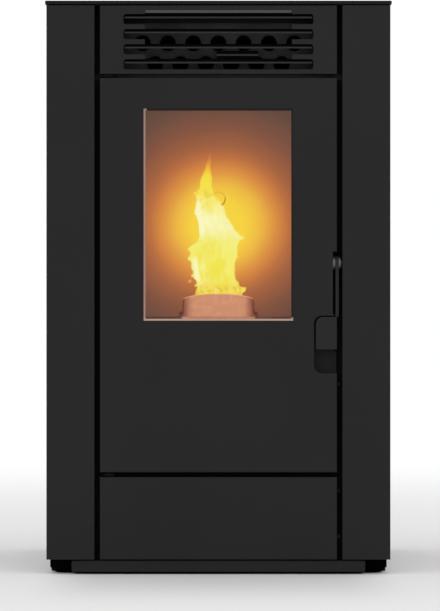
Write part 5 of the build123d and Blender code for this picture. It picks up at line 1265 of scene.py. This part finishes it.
class STOVE_OT_fire(bpy.types.Operator):
    """Lights the fire: the flame's layers, sparks, and burning pellets in the pot"""

    bl_idname = "stove.fire"
    bl_label = "Fire"

    def execute(self, context):
        settings = context.scene.stove_fire
        glow, seed = settings.brightness, settings.flame_seed * 7.3
        for name, fullness, richness, cover in FLAME_LAYERS:
            vertices, faces = flame_shell(fullness, seed + fullness)
            if name == "flame_mantle":
                curls = [spark_blob((x * MM, POT_CENTRE.y - 4 * MM, z * MM), radius * MM, k * 1.7)
                         for k, (x, z, radius) in enumerate(FLAME_CURLS)]
                vertices, faces = joined([(vertices, faces)] + curls)
            skin = flame_skin(name + "_light", glow, richness, cover)
            piece = mesh_piece(name, vertices, faces, skin, smooth_angle=180.0)
            piece.visible_shadow = False
            place_piece(piece, BODY, "element")
        self.embers(settings)
        return {"FINISHED"}

    @staticmethod
    def embers(settings):
        """The bed of burning pellets, domed in the pot."""
        steps, rings = 32, 6
        profile = [(BED_R * 0.98, BED_Z - BED_DEPTH)]
        profile += [(BED_R * (1 - k / rings), BED_Z + BED_DOME * math.sin(k / rings * math.pi / 2))
                    for k in range(rings)]
        vertices, faces = lathe(profile, steps)
        vertices = [(x + POT_CENTRE.x, y + POT_CENTRE.y, z) for x, y, z in vertices]
        skin = ember_skin("glowing_pellets")
        bed = mesh_piece("ember_bed", vertices, faces, skin)
        shape = pellet_shape("ember_shape", 3 * MM, 11 * MM)
        top = bed.data.copy()
        trimmed = bmesh.new()
        trimmed.from_mesh(top)
        low = [f for f in trimmed.faces if f.normal.z < 0.3 or f.calc_center_median().z < BED_Z - 1 * MM]
        bmesh.ops.delete(trimmed, geom=low, context="FACES")
        trimmed.to_mesh(top)
        trimmed.free()
        sizes = {"Shape": shape, "Spacing": settings.ember_spacing, "Density": PELLET_DENSITY,
                 "Lift": 2 * MM, "Seed": 5}
        for part in (bed, grow("embers", top, scatter, sizes, skin)):
            place_piece(part, BODY, "element")


class STOVE_OT_pellets(bpy.types.Operator):
    """Fills the hopper with wood pellets"""

    bl_idname = "stove.pellets"
    bl_label = "Pellets"

    def execute(self, context):
        settings = context.scene.stove_hopper
        wood = pressed_wood("pressed_pine")
        across, deep = 48, 18
        vertices = []
        for row in range(deep + 1):
            for column in range(across + 1):
                x = HEAP_HALF * (2 * column / across - 1)
                y = HEAP_Y[0] + (HEAP_Y[1] - HEAP_Y[0]) * row / deep
                hump = HEAP_CROWN * math.cos(x / HEAP_HALF * math.pi / 2)
                hump += HEAP_BUMPS * noise.noise((x * 14, y * 14, 2.0))
                vertices.append((x, y, HEAP_TOP_Z + hump))
        faces = grid_faces(across, deep)
        surface = raw_mesh("heap_top", vertices, faces=faces)
        width = across + 1
        rim = (list(range(width)) + [row * width + across for row in range(1, deep + 1)]
               + [deep * width + column for column in range(across - 1, -1, -1)]
               + [row * width for row in range(deep - 1, 0, -1)])
        start, count = len(vertices), len(rim)
        vertices += [(vertices[k][0], vertices[k][1], HEAP_FLOOR_Z) for k in rim]
        faces += [(rim[b], rim[a], start + a, start + b) for a, b in loop(count)]
        faces.append(tuple(range(start, start + count)))
        heap = mesh_piece("pellet_heap", vertices, faces, wood)
        shape = pellet_shape("pellet_shape", settings.pellet_radius, settings.pellet_length)
        sizes = {"Shape": shape, "Spacing": settings.pellet_spacing, "Density": PELLET_DENSITY,
                 "Lift": 4 * MM, "Seed": 11}
        for part in (heap, grow("pellets", surface, scatter, sizes, wood)):
            place_piece(part, BODY, "refractory")
        return {"FINISHED"}


class STOVE_OT_screws(bpy.types.Operator):
    """Drives the pan-head screws of the panels"""

    bl_idname = "stove.screws"
    bl_label = "Panel screws"

    def execute(self, context):
        chooser = random.Random(3)
        points = [(SCREW_X, PLATE_Y, z) for z in SCREW_Z]
        turns = [(math.pi / 2, 0.0, 0.0)] * len(points)
        for x in (-REAR_SCREW_X, REAR_SCREW_X):
            points += [(x, REAR_FACE_Y, z) for z in REAR_SCREW_Z]
            turns += [(-math.pi / 2, 0.0, 0.0)] * len(REAR_SCREW_Z)
        mesh = raw_mesh("screw_places", points)
        add_turns(mesh, [(x, chooser.uniform(0, math.pi / 2), z) for x, _, z in turns])
        shape = hidden_shape("screw_head", *self.head())
        piece = grow("cross_head_screws", mesh, on_points, {"Shape": shape},
                     zinc_plate("blackened_screws", 0.22, 0.25), smooth_angle=35.0)
        place_piece(piece, BODY, "zinc", "panel_screws")
        return {"FINISHED"}

    @staticmethod
    def head():
        """A pan head with a cross recess, seated on z = 0."""
        steps, rings = 32, 12
        profile = [(1.0, 0.0), (1.0, 0.3), (0.97, 0.5), (0.9, 0.68)]
        for k in range(1, rings):
            part = k / (rings - 1)
            profile.append((0.9 * (1 - part) + 0.02, 0.68 + 0.32 * math.sin(part * math.pi / 2)))
        vertices = []
        for radius, height in profile:
            for cos, sin in circle(steps):
                x, y = radius * cos, radius * sin
                arm = min(abs(x), abs(y)) < CROSS_HALF_WIDTH and max(abs(x), abs(y)) < CROSS_REACH
                sunk = CROSS_DEPTH if arm and height > 0.7 else 0.0
                vertices.append((x * SCREW_R, y * SCREW_R, (height - sunk) * SCREW_HEIGHT))
        last = (len(profile) - 1) * steps
        ends = [tuple(range(last, last + steps)), tuple(reversed(range(steps)))]
        return vertices, ring_faces(len(profile), steps) + ends


class STOVE_OT_tube_welds(bpy.types.Operator):
    """Runs the weld beads round the ends of the exchanger's tubes"""

    bl_idname = "stove.tube_welds"
    bl_label = "Tube welds"

    def execute(self, context):
        places = []
        for height, count in TUBE_ROWS:
            places += [((k - (count - 1) / 2) * TUBE_PITCH, TUBE_SHEET_Y, height) for k in range(count)]
        mesh = raw_mesh("weld_places", places)
        chooser = random.Random(8)
        add_turns(mesh, [(math.pi / 2, chooser.uniform(0, 2 * math.pi), 0.0) for _ in places])
        shape = hidden_shape("weld_bead", *self.bead())
        steel = NODES["exchanger_box"].material_slots[0].material
        piece = grow("tube_end_welds", mesh, on_points, {"Shape": shape}, steel, smooth_angle=60.0)
        place_piece(piece, BODY, "inner_paint")
        return {"FINISHED"}

    @staticmethod
    def bead():
        """A rippled ring on z = 0, round a tube's mouth."""
        around, across = 72, 7
        vertices = []
        for k in range(around):
            turn = 2 * math.pi * k / around
            ripple = 0.12 * math.cos(turn * 24) + 0.08 * math.cos(turn * 5)
            for cos, sin in circle(across):
                radius = TUBE_R + (0.9 + ripple * 0.4) * MM * cos
                rise = (0.55 + ripple) * MM * sin
                vertices.append((radius * math.cos(turn), radius * math.sin(turn), rise))
        faces = [(a * across + i, b * across + i, b * across + j, a * across + j)
                 for a, b in loop(around) for i, j in loop(across)]
        return vertices, faces


def looked_at(web):
    """1 for the camera, for a reflection and behind glass."""
    path = web.add("ShaderNodeLightPath")
    return path.most(path.out("Is Glossy Ray")).most(path.out("Is Transmission Ray"))


class STOVE_OT_studio(bpy.types.Operator):
    """Sets the floor, the white background, the lamps and the camera"""

    bl_idname = "stove.studio"
    bl_label = "Studio"

    def execute(self, context):
        scene = context.scene
        settings = scene.stove_studio
        scene.view_settings.view_transform = "Standard"
        self.floor()
        self.background(scene)
        for name, place, size, power in LAMPS:
            self.lamp(name, place, size, power * settings.lamp_level)
        distance = settings.camera_distance
        camera = bpy.data.cameras.new("camera")
        camera.sensor_fit = "AUTO"
        camera.sensor_width = 36.0
        camera.lens = camera.sensor_width * distance / settings.view_height
        holder = linked("camera", camera)
        holder.location = (CAMERA_X, FRONT_Y - distance, CAMERA_Z)
        holder.rotation_euler = (math.pi / 2, 0.0, 0.0)
        scene.camera = holder
        return {"FINISHED"}

    @staticmethod
    def floor():
        """A pale floor that keeps the stove's shadow and reads white away from it.

        It has a little white of its own, and less of it just in front of the stove, as a painted shadow.
        """
        material = bpy.data.materials.new("studio_floor")
        web = cleared(material)
        at = web.place()
        cloud = web.grain(at, 3.0, 3.0)
        pale = web.mix(cloud, (0.79, 0.79, 0.79, 1.0), (0.81, 0.81, 0.81, 1.0))
        matt = web.add("ShaderNodeBsdfDiffuse", {}, {"Color": pale})
        seen = looked_at(web)
        east, north, _ = web.parts(at)
        # Painted shadow: a patch just in front of the stove has less white of its own.
        dim = web.band(east, *DIM_HALF_WIDTH) * web.step(north, *(FRONT_Y - reach for reach in DIM_REACH))
        dim = dim * web.step(north, -FRONT_Y, 0.0)
        white, more, less = (web.add("ShaderNodeEmission", {}, {"Color": WHITE, "Strength": strength})
                             for strength in (1.0, 0.125, 0.005))
        lift = web.add("ShaderNodeMixShader", {}, {0: dim, 1: more, 2: less})
        lifted = web.add("ShaderNodeAddShader", {}, {0: matt, 1: lift})
        near = web.add("ShaderNodeMixShader", {}, {0: seen, 1: matt, 2: lifted})
        away = web.step((east * east + north * north) ** 0.5, *FLOOR_FADE)
        faded = web.add("ShaderNodeMixShader", {}, {0: away * seen, 1: near, 2: white})
        web.add("ShaderNodeOutputMaterial", {}, {"Surface": faded})
        count = 12
        ticks = [FLOOR_REACH * (2 * k / count - 1) for k in range(count + 1)]
        vertices = [(x, y, 0.0) for y in ticks for x in ticks]
        mesh_piece("floor", vertices, grid_faces(count, count), material)

    @staticmethod
    def background(scene):
        """White where the camera, a reflection or glass sees it, and a soft light, dimmer from the rear."""
        world = bpy.data.worlds.new("studio")
        web = cleared(world)
        toward = web.add("ShaderNodeTexCoord", {}, {}, "Generated")
        _, north, _ = web.parts(toward)
        soft = 0.94 - web.step(north, -0.1, 0.7) * 0.3
        strength = soft.most(looked_at(web))
        sky = web.add("ShaderNodeBackground", {}, {"Color": WHITE, "Strength": strength})
        web.add("ShaderNodeOutputWorld", {}, {"Surface": sky})
        scene.world = world

    @staticmethod
    def lamp(name, place, size, power):
        """A square soft lamp that points at the stove's middle."""
        light = bpy.data.lights.new(name, "AREA")
        light.shape = "SQUARE"
        light.size = size
        light.energy = power
        holder = linked(name, light)
        holder.location = place
        aim = STOVE_MIDDLE - Vector(place)
        holder.rotation_euler = aim.to_track_quat("-Z", "Y").to_euler()
        holder.visible_camera = False


class STOVE_PT_panel(bpy.types.Panel):
    """Lists the stove's steps in the sidebar"""

    bl_idname = "STOVE_PT_panel"
    bl_label = "Pellet Stove"
    bl_space_type = "VIEW_3D"
    bl_region_type = "UI"
    bl_category = "Stove"

    def draw(self, context):
        for name in GROUPS:
            box, group = self.layout.box(), getattr(context.scene, name)
            for field in group.__annotations__:
                box.prop(group, field)
        for operator in STEPS:
            self.layout.operator(operator.bl_idname)


STEPS = (STOVE_OT_metalwork, STOVE_OT_casing, STOVE_OT_rope_seal, STOVE_OT_flat_seals, STOVE_OT_fire,
         STOVE_OT_pellets, STOVE_OT_screws, STOVE_OT_tube_welds, STOVE_OT_studio)
GROUPS = {
    "stove_finish": StoveFinishSettings,
    "stove_fire": StoveFireSettings,
    "stove_hopper": StoveHopperSettings,
    "stove_studio": StoveStudioSettings,
}
CLASSES = (*GROUPS.values(), *STEPS, STOVE_PT_panel)


def register():
    for kind in CLASSES:
        bpy.utils.register_class(kind)
    for name, group in GROUPS.items():
        setattr(bpy.types.Scene, name, PointerProperty(type=group))


def unregister():
    for name in GROUPS:
        delattr(bpy.types.Scene, name)
    for kind in reversed(CLASSES):
        bpy.utils.unregister_class(kind)


def main():
    register()
    bpy.ops.stove.metalwork()
    bpy.ops.stove.casing()
    bpy.ops.stove.rope_seal()
    bpy.ops.stove.flat_seals()
    bpy.ops.stove.fire()
    bpy.ops.stove.pellets()
    bpy.ops.stove.screws()
    bpy.ops.stove.tube_welds()
    bpy.ops.stove.studio()


if __name__ == "__main__":
    main()
